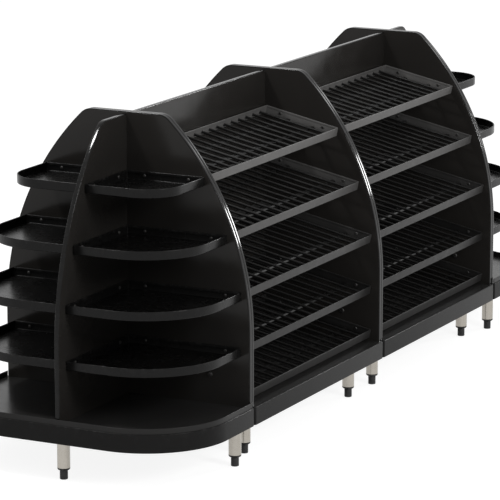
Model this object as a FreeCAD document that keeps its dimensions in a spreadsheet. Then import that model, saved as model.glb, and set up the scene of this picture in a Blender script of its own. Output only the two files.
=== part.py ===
import FreeCAD, Part
import math
import os
import re
import Sketcher
from FreeCAD import Placement, Rotation, Vector

# Double-sided island rack in line: an end cap, two straight bays and a second end cap.
# X runs along the rack, Y across it, Z up from the floor; X = 0 is the joint between the bays.
# Every module brings its own end panel, so each of the three joints shows two panels back to back.

SIZES = [
    ("bay_pitch", 1066.8, "joint to joint along one bay"),
    ("panel_plate", 16, "thickness of every panel, fin and divider"),
    ("panel_half", 484, "half width of a panel at its foot"),
    ("panel_high", 998, "height of a panel above the deck"),
    ("side_start", 253, "height above the deck where a panel's side begins to curve in"),
    ("top_half", 155, "half width of the flat top, to the virtual corner"),
    ("top_corner", 60, "radius between that curve and the flat top"),
    ("top_step", 8, "how far dividers and fins end below the panels"),
    ("fin_margin", 16, "how much further a fin reaches out than a panel's side"),
    ("edge_round", 2, "rounding of the panel edges"),
    ("deck_top", 200.5, "height of the base decks"),
    ("skirt_margin", 12, "how far the skirt stands outside the feet of panels and fins"),
    ("skirt_low", 135.5, "underside of the skirt"),
    ("skirt_sheet", 4, "skirt thickness"),
    ("skirt_gap", 0.2, "clearance between the skirt and the pan behind it"),
    ("skirt_corner", 300, "plan radius of a cap's big corners"),
    ("skirt_end", 9, "plan radius where a skirt turns in at a joint"),
    ("skirt_return", 30, "flat return behind that turn"),
    ("joint_gap", 3, "how far skirts and pans stop short of their joint"),
    ("skirt_edge", 3, "rounding of the skirt's top edge"),
    ("pan_sheet", 2.5, "base pan sheet"),
    ("pan_depth", 43, "depth of the base pan's folded rim"),
    ("cap_lip", 19, "upturned lip round a cap's base pan, above its deck"),
    ("bar_margin", 2, "bars under the pans, beyond the leg plates that they take"),
    ("bar_thick", 8, "thickness of those bars"),
    ("weld_sink", 0.5, "how far those bars are let into the pan's rim"),
    ("low_lip_rise", 210, "top edge of the lowest shelf's lip above the deck"),
    ("level_pitch", 195, "height from one shelf level to the next"),
    ("base_lip_rise", 43, "top edge of the slatted base deck's lip above the pan"),
    ("inset_top", 14, "level 1 lips inside the panels' edge"),
    ("inset_second", 24.5, "level 2 lips inside the panels' edge"),
    ("inset_low", 20.5, "level 3 lips inside the panels' edge; the lips below are in line"),
    ("lip_height", 32, "height of every shelf wall and lip"),
    ("lip_sheet", 2, "sheet of shelves and trays"),
    ("lip_drop", 12, "from the rods' axis down to the lip's lower edge"),
    ("tray_flat_top", 184, "level 1 trays' straight front, from the centre line"),
    ("tray_flat_second", 168, "level 2 trays' straight front"),
    ("tray_flat_low", 174, "lower trays' straight front"),
    ("shelf_tilt", 12, "degrees that a slatted shelf falls to the front"),
    ("shelf_gap", 0.5, "clearance between a shelf and the divider"),
    ("rod_dia", 9.5, "shelf rod"),
    ("rod_pitch", 58, "rod spacing"),
    ("cross_width", 12, "width of the cross bars under the rods"),
    ("cross_inset", 100, "cross bars from the front and back walls of a shelf"),
    ("leg_dia", 44.45, "leg tube"),
    ("leg_wall", 1.6, "leg tube wall"),
    ("leg_plate", 5, "plate on top of a leg"),
    ("plate_side", 14, "that plate beyond the tube at either side"),
    ("plate_in", 24, "that plate beyond the tube inward"),
    ("plate_out", 1.5, "that plate beyond the tube outward"),
    ("bay_leg_gap", 65.5, "bay leg plates from the pan's rim"),
    ("bay_leg_end", 106, "bay legs from their joint"),
    ("side_leg_gap", 19.5, "cap side leg plates from the pan's rim"),
    ("side_leg_end", 55, "cap side legs from their joint"),
    ("fin_leg_gap", 22, "cap front leg plate from the pan's rim"),
    ("foot_dia", 28, "levelling foot"),
    ("foot_height", 33, "foot below the leg, screwed right in"),
    ("foot_chamfer", 1.5, "bevel at the foot's bottom edge"),
    ("stem_dia", 16, "foot stem"),
    ("stem_long", 75, "foot stem above the foot"),
    ("stem_gap", 0.05, "radial clearance of the stem in its insert"),
    ("insert_rim", 8, "rim of the insert showing below the tube"),
    ("insert_long", 30, "insert inside the tube"),
    ("insert_gap", 0.05, "radial clearance of the insert in the tube"),
    ("screw_dia", 6, "shelf screw"),
    ("screw_tip_gap", 0.7, "shelf screw's tip short of the board's middle"),
    ("screw_head", 12, "shelf screw head"),
    ("screw_head_high", 3.3, "height of that head"),
    ("thread_gap", 0.05, "radial clearance of screws and bolts in boards and bars"),
    ("clear_gap", 0.25, "radial clearance of screws and bolts in what they clamp"),
    ("screw_inset", 62, "screws from the ends of a shelf wall"),
    ("joint_bolt_dia", 10, "bolt through two panels"),
    ("joint_bolt_head", 20, "its head"),
    ("joint_bolt_head_high", 4, "height of that head"),
    ("joint_low_side", 330, "lower joint bolts from the centre line"),
    ("joint_low_rise", 60, "lower joint bolts above the base deck's lip"),
    ("joint_high_side", 150, "upper joint bolts from the centre line"),
    ("joint_high_drop", 72, "upper joint bolts below the highest lip"),
    ("leg_bolt_dia", 8, "leg plate bolt"),
    ("leg_bolt_head", 13, "its head"),
    ("leg_bolt_head_high", 5, "height of that head"),
    ("leg_bolt_side", 5.5, "leg bolts beyond the tube at either side"),
    ("leg_bolt_in", 13, "inner leg bolts beyond the tube"),
    ("leg_bolt_out", 14, "outer leg bolts from the leg's axis"),
]

doc = FreeCAD.newDocument("bread_rack")
sheet = doc.addObject("Spreadsheet::Sheet", "Sizes")
for row, (alias, amount, note) in enumerate(SIZES, start=1):
    sheet.set(f"A{row}", note)
    sheet.set(f"B{row}", str(amount))
    sheet.setAlias(f"B{row}", alias)
doc.recompute()

# ---------------------------------------------------------------- formulas worked out from the sheet

PANEL_TOP = "(deck_top + panel_high)"
INNER_TOP = f"({PANEL_TOP} - top_step)"
CURVE_LOW = "(deck_top + side_start)"
CURVE_IN = "(panel_half - top_half)"
CURVE_UP = "(panel_high - side_start)"
SIDE_RADIUS = f"(({CURVE_IN} * {CURVE_IN} + {CURVE_UP} * {CURVE_UP}) / (2 * {CURVE_IN}))"
FIN_REACH = "(panel_half + fin_margin)"
SKIRT_HALF = "(panel_half + skirt_margin)"
SKIRT_NOSE = f"({FIN_REACH} + skirt_margin)"
BEHIND_SKIRT = "(skirt_sheet + skirt_gap)"
PAN_HALF = f"({SKIRT_HALF} - {BEHIND_SKIRT})"
PAN_NOSE = f"({SKIRT_NOSE} - {BEHIND_SKIRT})"
PAN_START = f"(joint_gap + {BEHIND_SKIRT})"
RIM_INSIDE = f"({PAN_HALF} - pan_sheet)"
NOSE_INSIDE = f"({PAN_NOSE} - pan_sheet)"
BAR_LOW = "(deck_top - pan_sheet - bar_thick)"
PLATE_LOW = f"({BAR_LOW} - leg_plate)"
TUBE_LOW = "(foot_height + insert_rim)"
TUBE = "(leg_dia / 2)"
PLATE_OUTWARD = f"({TUBE} + plate_out)"
PLATE_INWARD = f"({TUBE} + plate_in)"
PLATE_SIDE = f"({TUBE} + plate_side)"
SHELF_BACK = "(panel_plate / 2 + lip_drop * sin(shelf_tilt) + shelf_gap)"
LIP_RISE = "(lip_height - lip_drop)"
SCREW_UP = "(lip_height / 2 - lip_drop)"
SCREW_LONG = "(lip_sheet + panel_plate / 2 - screw_tip_gap)"
SCREW_HOLE = "(screw_dia / 2 + thread_gap)"
SCREW_CLEAR = "(screw_dia / 2 + clear_gap)"

BASE = 5
LOWEST_SHELF = 4
INSETS = {1: "inset_top", 2: "inset_second", 3: "inset_low"}
LOWEST_CURVED = max(INSETS)
TRAY_FLATS = {1: "tray_flat_top", 2: "tray_flat_second", 3: "tray_flat_low", 4: "tray_flat_low"}
SHELF_LEVELS = range(1, LOWEST_SHELF + 1)
ALL_LEVELS = range(1, BASE + 1)
SIDES = {"front": -1, "back": 1}


def lip_level(level):
    """Height of a level's lip: the four shelves are evenly spaced, the base deck has its own."""
    if level == BASE:
        return "(deck_top + base_lip_rise)"
    return f"(deck_top + low_lip_rise + {LOWEST_SHELF - level} * level_pitch)"


def reach(level):
    """Lips follow the panels' curved side down to level 3, and stay in line with it below."""
    curved = min(level, LOWEST_CURVED)
    above = f"({lip_level(curved)} - {CURVE_LOW})"
    square = f"({SIDE_RADIUS} * {SIDE_RADIUS} - {above} * {above})"
    return f"(panel_half - {SIDE_RADIUS} + sqrt({square}) - {INSETS[curved]})"


def shelf_depth(level):
    """Length of a slatted shelf along its own slope."""
    return f"(({reach(level)} - {SHELF_BACK} - {LIP_RISE} * sin(shelf_tilt)) / cos(shelf_tilt))"


def shelf_pivot(level):
    """Height of the rods' axis at the back of a shelf."""
    rise = f"{shelf_depth(level)} * sin(shelf_tilt)"
    return f"({lip_level(level)} + {rise} - {LIP_RISE} * cos(shelf_tilt))"


def formula(text):
    """A formula with each size's name written as a reference to the sheet."""
    return re.sub(r"\b([a-z]+(?:_[a-z]+)+)\b", r"Sizes.\1", str(text))


def number(text):
    """The present value of a formula."""
    return float(sheet.evalExpression(formula(text)))


def bind(item, **links):
    """Bind properties to formulas; a double underscore in a name stands for a dot."""
    for prop, text in links.items():
        item.setExpression(prop.replace("__", "."), formula(text))


# ---------------------------------------------------------------- sketch helpers

def new_body(name, several=False):
    """A body; one that holds several separate solids has to say so."""
    body = doc.addObject("PartDesign::Body", name)
    body.AllowCompound = several
    return body


def new_sketch(body, plane, name, offset="0"):
    """A sketch on one of the body's own planes, moved along that plane's normal."""
    sketch = body.newObject("Sketcher::SketchObject", name)
    support = [f for f in body.Origin.OriginFeatures if f.Role == plane][0]
    sketch.AttachmentSupport = (support, [""])
    sketch.MapMode = "FlatFace"
    bind(sketch, AttachmentOffset__Base__z=offset)
    return sketch


def drive(sketch, kind, *where, by):
    """Add a dimension and bind it to a formula."""
    index = sketch.addConstraint(Sketcher.Constraint(kind, *where, number(by)))
    sketch.setExpression(f"Constraints[{index}]", formula(by))


def fix(sketch, kind, *where):
    sketch.addConstraint(Sketcher.Constraint(kind, *where))


def place(sketch, kind, item, point, text):
    """Set one coordinate of a point, measured from the sketch's origin."""
    if number(text) == 0:
        fix(sketch, "PointOnObject", item, point, -2 if kind == "DistanceX" else -1)
    else:
        drive(sketch, kind, -1, 1, item, point, by=text)


def line(sketch, start, end):
    return sketch.addGeometry(Part.LineSegment(Vector(*start, 0), Vector(*end, 0)), False)


def arc(sketch, centre, radius, start_deg, end_deg):
    circle = Part.Circle(Vector(*centre, 0), Vector(0, 0, 1), radius)
    turn = Part.ArcOfCircle(circle, math.radians(start_deg), math.radians(end_deg))
    return sketch.addGeometry(turn, False)


def outline(sketch, left, low, right, high, corners=("0", "0", "0", "0")):
    """A closed rectangle; each corner, from lower left round to upper left, may have a radius."""
    x0, y0, x1, y1 = (number(text) for text in (left, low, right, high))
    radii = [number(text) for text in corners]
    points = [(x0, y0), (x1, y0), (x1, y1), (x0, y1)]
    along = [(1, 0), (0, 1), (-1, 0), (0, -1)]
    lines = []
    for i in range(4):
        j = (i + 1) % 4
        start = [points[i][k] + along[i][k] * radii[i] for k in (0, 1)]
        end = [points[j][k] - along[i][k] * radii[j] for k in (0, 1)]
        lines.append(line(sketch, start, end))
        fix(sketch, "Horizontal" if i % 2 == 0 else "Vertical", lines[i])
    for i in range(4):
        before = lines[i - 1]
        if radii[i] == 0:
            fix(sketch, "Coincident", before, 2, lines[i], 1)
            continue
        inward = [along[i][k] - along[i - 1][k] for k in (0, 1)]
        centre = [points[i][k] + inward[k] * radii[i] for k in (0, 1)]
        turn = arc(sketch, centre, radii[i], 180 + 90 * i, 270 + 90 * i)
        fix(sketch, "Tangent", before, 2, turn, 1)
        fix(sketch, "Tangent", turn, 2, lines[i], 1)
        drive(sketch, "Radius", turn, by=corners[i])
    for i, kind, text in ((0, "DistanceY", low), (1, "DistanceX", right),
                          (2, "DistanceY", high), (3, "DistanceX", left)):
        place(sketch, kind, lines[i], 1, text)


def polygon(sketch, corners):
    """A closed outline of straight sides through corners given as formulas."""
    spots = [[number(text) for text in corner] for corner in corners]
    sides = [line(sketch, spots[i - 1], spots[i]) for i in range(len(spots))]
    for i, side in enumerate(sides):
        fix(sketch, "Coincident", sides[i - 1], 2, side, 1)
        place(sketch, "DistanceX", side, 2, corners[i][0])
        place(sketch, "DistanceY", side, 2, corners[i][1])


def circles(sketch, radius, centres):
    for across, up in centres:
        circle = Part.Circle(Vector(number(across), number(up), 0), Vector(0, 0, 1), number(radius))
        index = sketch.addGeometry(circle, False)
        drive(sketch, "Radius", index, by=radius)
        place(sketch, "DistanceX", index, 3, across)
        place(sketch, "DistanceY", index, 3, up)


# ---------------------------------------------------------------- feature helpers

def pad(body, sketch, length, name, reverse=False, middle=False):
    feature = body.newObject("PartDesign::Pad", name)
    feature.Profile = sketch
    feature.Reversed = reverse
    feature.SideType = "Symmetric" if middle else "One side"
    bind(feature, Length=length)


def pocket(body, sketch, length, name, reverse=False):
    """Cut against the sketch plane's normal, or along it when reversed, and insist that it cuts."""
    doc.recompute()
    before = body.Shape.Volume
    feature = body.newObject("PartDesign::Pocket", name)
    feature.Profile = sketch
    feature.Reversed = reverse
    bind(feature, Length=length)
    doc.recompute()
    if not body.Shape.Volume < before:
        raise ValueError(f"{name} cuts nothing")


def holes(body, plane, name, offset, radius, centres, depth, reverse=False):
    sketch = new_sketch(body, plane, f"{name}_sketch", offset)
    circles(sketch, radius, centres)
    pocket(body, sketch, depth, name, reverse)


def round_edges(body, radius, name, wanted):
    """Fillet the edges of the body's present tip that pass a test."""
    doc.recompute()
    tip = body.Tip
    names = [f"Edge{i}" for i, edge in enumerate(tip.Shape.Edges, start=1) if wanted(edge)]
    feature = body.newObject("PartDesign::Fillet", name)
    feature.Base = (tip, names)
    bind(feature, Radius=radius)


def lies_in(edge, axis, value, slack=0.01):
    """True where the whole edge lies in a plane square to one axis."""
    low = getattr(edge.BoundBox, f"{axis}Min")
    high = getattr(edge.BoundBox, f"{axis}Max")
    return abs(low - value) < slack and abs(high - value) < slack


def revolved(name, corners):
    """A turned piece: a half section in the XZ plane, spun about Z."""
    body = new_body(name)
    sketch = new_sketch(body, "XZ_Plane", f"{name}_section")
    polygon(sketch, corners)
    feature = body.newObject("PartDesign::Revolution", f"{name}_turn")
    feature.Profile = sketch
    feature.ReferenceAxis = (sketch, ["V_Axis"])
    feature.Angle = 360
    return body


def box(name, x0, y0, z0, x1, y1, z1):
    item = doc.addObject("Part::Box", name)
    bind(item, Length=f"{x1} - {x0}", Width=f"{y1} - {y0}", Height=f"{z1} - {z0}",
         Placement__Base__x=x0, Placement__Base__y=y0, Placement__Base__z=z0)
    return item


def shape_of(kind, name, base, tool):
    item = doc.addObject(kind, name)
    item.Base = base
    item.Tool = tool
    return item


# ---------------------------------------------------------------- placing pieces

NODES = []


def keep(item, label):
    item.Label = label
    NODES.append(item)


def placed(pieces, name, along="0", across="0", turn=0):
    """The given pieces as one object, turned about Z and moved to a place given by formulas."""
    group = doc.addObject("Part::Compound", name)
    group.Links = list(pieces)
    group.Placement = Placement(Vector(0, 0, 0), Rotation(Vector(0, 0, 1), turn))
    bind(group, Placement__Base__x=along, Placement__Base__y=across)
    return group


def many(piece, label, places):
    """One node that holds a copy of a small piece at each given Placement."""
    doc.recompute()
    group = doc.addObject("Part::Feature", label)
    copies = []
    for spot in places:
        copy = piece.Shape.copy()
        copy.Placement = spot
        copies.append(copy)
    group.Shape = Part.makeCompound(copies)
    keep(group, label)


def aimed(point, direction):
    """A Placement that turns a piece's own +Z to a direction."""
    return Placement(Vector(*point), Rotation(Vector(0, 0, 1), Vector(*direction)))


# Module name, X of its joint, and the turn that faces it the right way.
CAPS = {"near_cap": ("-bay_pitch", 0), "far_cap": ("bay_pitch", 180)}
BAYS = {"bay_a": "-bay_pitch", "bay_b": "0"}


# ---------------------------------------------------------------- panels, fins and dividers

def curved_side(sketch, half, base_line, top, mirror):
    """One side of the beehive outline: upright, long curve in, small corner.

    Returns the small corner's free end and where that end lies.
    """
    flip = -1 if mirror else 1
    h, z0, z1, z3 = (number(t) for t in (half, "deck_top", CURVE_LOW, top))
    big, small = number(SIDE_RADIUS), number("top_corner")
    lift = math.degrees(math.asin((z3 - small - z1) / (big - small)))
    centre = (h - big, z1)
    inner = (centre[0] + (big - small) * math.cos(math.radians(lift)), z3 - small)
    if mirror:
        upright = line(sketch, (-h, z1), (-h, z0))
        long_arc = arc(sketch, (-centre[0], z1), big, 180 - lift, 180)
        corner = arc(sketch, (-inner[0], inner[1]), small, 90, 180 - lift)
        fix(sketch, "Tangent", corner, 2, long_arc, 1)
        fix(sketch, "Tangent", long_arc, 2, upright, 1)
        free, foot, shoulder, base_end = (corner, 1), (upright, 2), (upright, 1), 1
    else:
        upright = line(sketch, (h, z0), (h, z1))
        long_arc = arc(sketch, centre, big, 0, lift)
        corner = arc(sketch, inner, small, lift, 90)
        fix(sketch, "Tangent", upright, 2, long_arc, 1)
        fix(sketch, "Tangent", long_arc, 2, corner, 1)
        free, foot, shoulder, base_end = (corner, 2), (upright, 1), (upright, 2), 2
    fix(sketch, "Vertical", upright)
    fix(sketch, "Coincident", *foot, base_line, base_end)
    drive(sketch, "Radius", long_arc, by=SIDE_RADIUS)
    drive(sketch, "Radius", corner, by="top_corner")
    place(sketch, "DistanceY", *shoulder, CURVE_LOW)
    place(sketch, "DistanceX", *foot, f"-{half}" if mirror else half)
    return free, (flip * inner[0], z3)


def panel_outline(sketch):
    """The full outline of an end panel, standing on the deck."""
    half, low = number("panel_half"), number("deck_top")
    base_line = line(sketch, (-half, low), (half, low))
    fix(sketch, "Horizontal", base_line)
    place(sketch, "DistanceY", base_line, 1, "deck_top")
    right, right_spot = curved_side(sketch, "panel_half", base_line, PANEL_TOP, False)
    left, left_spot = curved_side(sketch, "panel_half", base_line, PANEL_TOP, True)
    flat_top = line(sketch, right_spot, left_spot)
    fix(sketch, "Tangent", *right, flat_top, 1)
    fix(sketch, "Tangent", flat_top, 2, *left)
    place(sketch, "DistanceY", flat_top, 1, PANEL_TOP)
    fix(sketch, "Horizontal", flat_top)


def fin_outline(sketch):
    """Half of that outline, from the panel's face out to the front of the cap."""
    back, low, top = number("-panel_plate"), number("deck_top"), number(INNER_TOP)
    base_line = line(sketch, (-number(FIN_REACH), low), (back, low))
    fix(sketch, "Horizontal", base_line)
    place(sketch, "DistanceY", base_line, 1, "deck_top")
    left, left_spot = curved_side(sketch, FIN_REACH, base_line, INNER_TOP, True)
    flat_top = line(sketch, (back, top), left_spot)
    rear = line(sketch, (back, low), (back, top))
    fix(sketch, "Coincident", base_line, 2, rear, 1)
    fix(sketch, "Coincident", rear, 2, flat_top, 1)
    fix(sketch, "Vertical", rear)
    fix(sketch, "Tangent", flat_top, 2, *left)
    fix(sketch, "Horizontal", flat_top)
    place(sketch, "DistanceX", rear, 1, "-panel_plate")
    place(sketch, "DistanceY", flat_top, 1, INNER_TOP)


def both_sides(spots):
    return spots + [(f"-{across}", up) for across, up in spots]


def joint_bolt_spots():
    """Bolts that tie two panels, as (across, up) formulas."""
    low = ("joint_low_side", f"({lip_level(BASE)} + joint_low_rise)")
    high = ("joint_high_side", f"({lip_level(1)} - joint_high_drop)")
    return both_sides([low, high])


def shelf_screw_spots(level):
    """Screws of one slatted shelf's end wall on the +Y side, as (across, up) formulas."""
    spots = []
    for run in ("screw_inset", f"({shelf_depth(level)} - screw_inset)"):
        across = f"({SHELF_BACK} + {run} * cos(shelf_tilt) + {SCREW_UP} * sin(shelf_tilt))"
        up = f"({shelf_pivot(level)} - {run} * sin(shelf_tilt) + {SCREW_UP} * cos(shelf_tilt))"
        spots.append((across, up))
    return spots


def tray_screw_spots(level):
    """Screws of one tray wall, as (out from the centre or joint, up) formulas."""
    up = f"({lip_level(level)} - lip_height / 2)"
    return [("(panel_plate + screw_inset)", up), (f"({reach(level)} - screw_inset)", up)]


def end_panel(name, spots, faces_left):
    """An end panel from its joint inward; screws enter its inner face, bolts go right through."""
    inner = "-panel_plate" if faces_left else "panel_plate"
    body = new_body(name)
    sketch = new_sketch(body, "YZ_Plane", f"{name}_outline")
    panel_outline(sketch)
    pad(body, sketch, "panel_plate", f"{name}_plate", reverse=faces_left)
    foot, faces = number("deck_top"), (0, number(inner))
    round_edges(body, "edge_round", f"{name}_rounding",
                lambda e: any(lies_in(e, "X", x) for x in faces) and not lies_in(e, "Z", foot))
    holes(body, "YZ_Plane", f"{name}_screw_holes", inner, SCREW_HOLE, spots, "panel_plate / 2",
          reverse=faces_left)
    holes(body, "YZ_Plane", f"{name}_bolt_holes", inner, "(joint_bolt_dia / 2 + thread_gap)",
          joint_bolt_spots(), "panel_plate", reverse=faces_left)
    return body


def fin():
    """The upright board that splits an end cap into two quarters."""
    body = new_body("fin")
    sketch = new_sketch(body, "XZ_Plane", "fin_outline")
    fin_outline(sketch)
    pad(body, sketch, "panel_plate", "fin_plate", middle=True)
    foot, back, side = number("deck_top"), number("-panel_plate"), number("panel_plate / 2")
    round_edges(body, "edge_round", "fin_rounding",
                lambda e: (lies_in(e, "Y", side) or lies_in(e, "Y", -side))
                and not lies_in(e, "Z", foot) and not lies_in(e, "X", back))
    spots = [(f"-{out}", up) for level in SHELF_LEVELS for out, up in tray_screw_spots(level)]
    holes(body, "XZ_Plane", "fin_screw_holes", "panel_plate / 2", SCREW_HOLE, spots, "panel_plate")
    return body


def divider():
    """The board along the middle of a bay, between its two panels."""
    body = new_body("divider")
    sketch = new_sketch(body, "XY_Plane", "divider_plan", "deck_top")
    outline(sketch, "panel_plate", "-panel_plate / 2", "bay_pitch - panel_plate", "panel_plate / 2")
    pad(body, sketch, f"{INNER_TOP} - deck_top", "divider_board")
    top, side = number(INNER_TOP), number("panel_plate / 2")
    round_edges(body, "edge_round", "divider_rounding",
                lambda e: lies_in(e, "Z", top) and (lies_in(e, "Y", side) or lies_in(e, "Y", -side)))
    return body


def build_boards():
    cap_spots = both_sides([s for level in SHELF_LEVELS for s in tray_screw_spots(level)])
    bay_spots = both_sides([s for level in ALL_LEVELS for s in shelf_screw_spots(level)])
    cap_panel = end_panel("cap_panel", cap_spots, True)
    bay_panel = end_panel("bay_panel", bay_spots, False)
    cap_fin, bay_divider = fin(), divider()
    for cap, (joint, turn) in CAPS.items():
        keep(placed([cap_panel], f"{cap}_panel_set", joint, turn=turn), f"{cap}_panel")
        keep(placed([cap_fin], f"{cap}_fin_set", joint, turn=turn), f"{cap}_fin")
    for bay, start in BAYS.items():
        far_end = f"({start} + bay_pitch)"
        keep(placed([bay_panel], f"{bay}_left_set", start), f"{bay}_left_panel")
        keep(placed([bay_panel], f"{bay}_right_set", far_end, turn=180), f"{bay}_right_panel")
        keep(placed([bay_divider], f"{bay}_divider_set", start), f"{bay}_divider")


# ---------------------------------------------------------------- end cap trays

def tray(level, sign):
    """A quarter tray with a rounded front corner: a floor and an even wall all round."""
    name = f"tray_{level}_{'right' if sign < 0 else 'left'}"
    body = new_body(name)
    low = f"({lip_level(level)} - lip_height)"

    def plan(sketch, wall):
        near, far = f"(panel_plate / 2 + {wall})", f"({reach(level)} - {wall})"
        radius = f"({far} - {TRAY_FLATS[level]})"
        ends = (f"-{far}", f"-{near}") if sign < 0 else (near, far)
        radii = (radius, "0", "0", "0") if sign < 0 else ("0", "0", "0", radius)
        outline(sketch, f"-{far}", ends[0], f"-(panel_plate + {wall})", ends[1], radii)

    outer = new_sketch(body, "XY_Plane", f"{name}_plan", low)
    plan(outer, "0")
    pad(body, outer, "lip_height", f"{name}_block")
    inner = new_sketch(body, "XY_Plane", f"{name}_inside", f"{low} + lip_sheet")
    plan(inner, "lip_sheet")
    pocket(body, inner, "lip_height", f"{name}_hollow", reverse=True)
    flank = "-" if sign < 0 else ""
    panel_spots = [(f"{flank}{out}", up) for out, up in tray_screw_spots(level)]
    fin_spots = [(f"-{out}", up) for out, up in tray_screw_spots(level)]
    fin_face = "panel_plate / 2" if sign < 0 else "-panel_plate / 2"
    holes(body, "YZ_Plane", f"{name}_panel_holes", "-panel_plate", SCREW_CLEAR, panel_spots,
          "lip_sheet")
    holes(body, "XZ_Plane", f"{name}_fin_holes", fin_face, SCREW_CLEAR, fin_spots, "lip_sheet",
          reverse=sign < 0)
    return body


def build_trays():
    for level in SHELF_LEVELS:
        pair = [tray(level, sign) for sign in (-1, 1)]
        for cap, (joint, turn) in CAPS.items():
            keep(placed(pair, f"{cap}_pair_{level}", joint, turn=turn), f"{cap}_trays_{level}")


# ---------------------------------------------------------------- slatted shelves

def shelf_walls(level):
    """The upright wall round a shelf, laid flat with the rods' axis at Z = 0."""
    name = f"walls_{level}"
    depth = shelf_depth(level)
    left, right = "panel_plate", "(bay_pitch - panel_plate)"
    body = new_body(name)
    ring = new_sketch(body, "XY_Plane", f"{name}_ring", "-lip_drop")
    outline(ring, left, f"-{depth}", right, "0")
    outline(ring, f"({left} + lip_sheet)", f"-({depth} - lip_sheet)",
            f"({right} - lip_sheet)", "-lip_sheet")
    pad(body, ring, "lip_height", f"{name}_height")
    spots = [("-screw_inset", SCREW_UP), (f"-({depth} - screw_inset)", SCREW_UP)]
    holes(body, "YZ_Plane", f"{name}_left_holes", left, SCREW_CLEAR, spots, "lip_sheet",
          reverse=True)
    holes(body, "YZ_Plane", f"{name}_right_holes", right, SCREW_CLEAR, spots, "lip_sheet")
    return body


def shelf_rods(level):
    """Rods from the back wall to the lip, as many as fit between the side walls."""
    name = f"rods_{level}"
    count = int(number("bay_pitch - 2 * panel_plate") // number("rod_pitch"))
    middle = (count - 1) / 2
    body = new_body(name, several=True)
    ends = new_sketch(body, "XZ_Plane", f"{name}_ends", "lip_sheet")
    places = [f"(bay_pitch / 2 + ({i - middle}) * rod_pitch)" for i in range(count)]
    circles(ends, "rod_dia / 2", [(along, "0") for along in places])
    pad(body, ends, f"({shelf_depth(level)} - 2 * lip_sheet)", f"{name}_length")
    return body


def cross_bars(level):
    """Two flat bars under the rods, from one side wall to the other."""
    name = f"cross_bars_{level}"
    left, right = "(panel_plate + lip_sheet)", "(bay_pitch - panel_plate - lip_sheet)"
    body = new_body(name, several=True)
    plan = new_sketch(body, "XY_Plane", f"{name}_plan", "-lip_drop")
    for middle in ("cross_inset", f"({shelf_depth(level)} - cross_inset)"):
        outline(plan, left, f"-({middle} + cross_width / 2)", right,
                f"-({middle} - cross_width / 2)")
    pad(body, plan, "(lip_drop - rod_dia / 2)", f"{name}_height")
    return body


def tilted(pieces, level):
    """A flat shelf's pieces at their level on the front side, falling towards the front."""
    item = doc.addObject("Part::Compound", f"tilted_{level}")
    item.Links = pieces
    item.Placement = Placement(Vector(0, 0, 0), Rotation(Vector(1, 0, 0), number("shelf_tilt")))
    bind(item, Placement__Rotation__Angle="shelf_tilt", Placement__Base__y=f"-{SHELF_BACK}",
         Placement__Base__z=shelf_pivot(level))
    return item


def build_shelves():
    """Levels 3 to 5 are one size, so they share one flat shelf."""
    decks, flat = [], {}
    for level in ALL_LEVELS:
        size = min(level, LOWEST_CURVED)
        if size not in flat:
            flat[size] = [shelf_walls(size), shelf_rods(size), cross_bars(size)]
        shelf = tilted(flat[size], level)
        for bay, start in BAYS.items():
            for side in SIDES:
                turned = side == "back"
                along = f"({start} + bay_pitch)" if turned else start
                item = placed([shelf], f"{bay}_{side}_{level}", along, turn=180 if turned else 0)
                if level == BASE:
                    decks.append(item)
                else:
                    keep(item, f"{bay}_{side}_shelf_{level}")
    keep(placed(decks, "all_decks"), "bay_slatted_decks")


# ---------------------------------------------------------------- base pans and skirts

SIDE_LEG = f"({RIM_INSIDE} - side_leg_gap - {PLATE_OUTWARD})"
FIN_LEG = f"({NOSE_INSIDE} - fin_leg_gap - {PLATE_OUTWARD})"
BAY_LEG = f"({RIM_INSIDE} - bay_leg_gap - {PLATE_OUTWARD})"


def cap_legs():
    """Legs of a cap that faces -X from its joint: (along, across, turn that faces it outward)."""
    return [(f"(-{FIN_LEG})", "0", -90), ("(-side_leg_end)", f"(-{SIDE_LEG})", 0),
            ("(-side_leg_end)", SIDE_LEG, 180)]


def bay_legs():
    """Legs of a bay, from its left joint."""
    return [(along, across, turn) for along in ("bay_leg_end", "(bay_pitch - bay_leg_end)")
            for across, turn in ((f"(-{BAY_LEG})", 0), (BAY_LEG, 180))]


def leg_bolt_spots():
    """Bolts round a leg whose outer side faces -Y, as (along, across) formulas."""
    return [(f"({side}({TUBE} + leg_bolt_side))", run) for side in ("-", "")
            for run in (f"({TUBE} + leg_bolt_in)", "(-leg_bolt_out)")]


def turned_spot(spot, turn):
    """Such a spot after the leg is turned by -90, 0 or 180 degrees."""
    along, across = spot
    if turn == -90:
        return across, f"(-{along})"
    if turn == 180:
        return f"(-{along})", f"(-{across})"
    return along, across


def base_pan(name, ends, radii, inner_radii, bars, legs):
    """A shallow pan, open below, with bars welded under its deck to take the legs."""
    left, right = ends
    body = new_body(name)
    plan = new_sketch(body, "XY_Plane", f"{name}_plan", "deck_top")
    outline(plan, left, f"-{PAN_HALF}", right, PAN_HALF, radii)
    pad(body, plan, "pan_depth", f"{name}_block", reverse=True)
    hollow = new_sketch(body, "XY_Plane", f"{name}_inside", "deck_top - pan_depth")
    outline(hollow, f"({left} + pan_sheet)", f"-{RIM_INSIDE}", f"({right} - pan_sheet)",
            RIM_INSIDE, inner_radii)
    pocket(body, hollow, "pan_depth - pan_sheet", f"{name}_hollow", reverse=True)
    for index, corners in enumerate(bars):
        bar = new_sketch(body, "XY_Plane", f"{name}_bar_{index}", "deck_top - pan_sheet")
        outline(bar, *corners)
        pad(body, bar, "bar_thick", f"{name}_leg_bar_{index}", reverse=True)
    spots = []
    for along, across, turn in legs:
        for dx, dy in (turned_spot(spot, turn) for spot in leg_bolt_spots()):
            spots.append((f"({along} + {dx})", f"({across} + {dy})"))
    holes(body, "XY_Plane", f"{name}_bolt_holes", BAR_LOW, "(leg_bolt_dia / 2 + thread_gap)",
          spots, "bar_thick", reverse=True)
    return body


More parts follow.
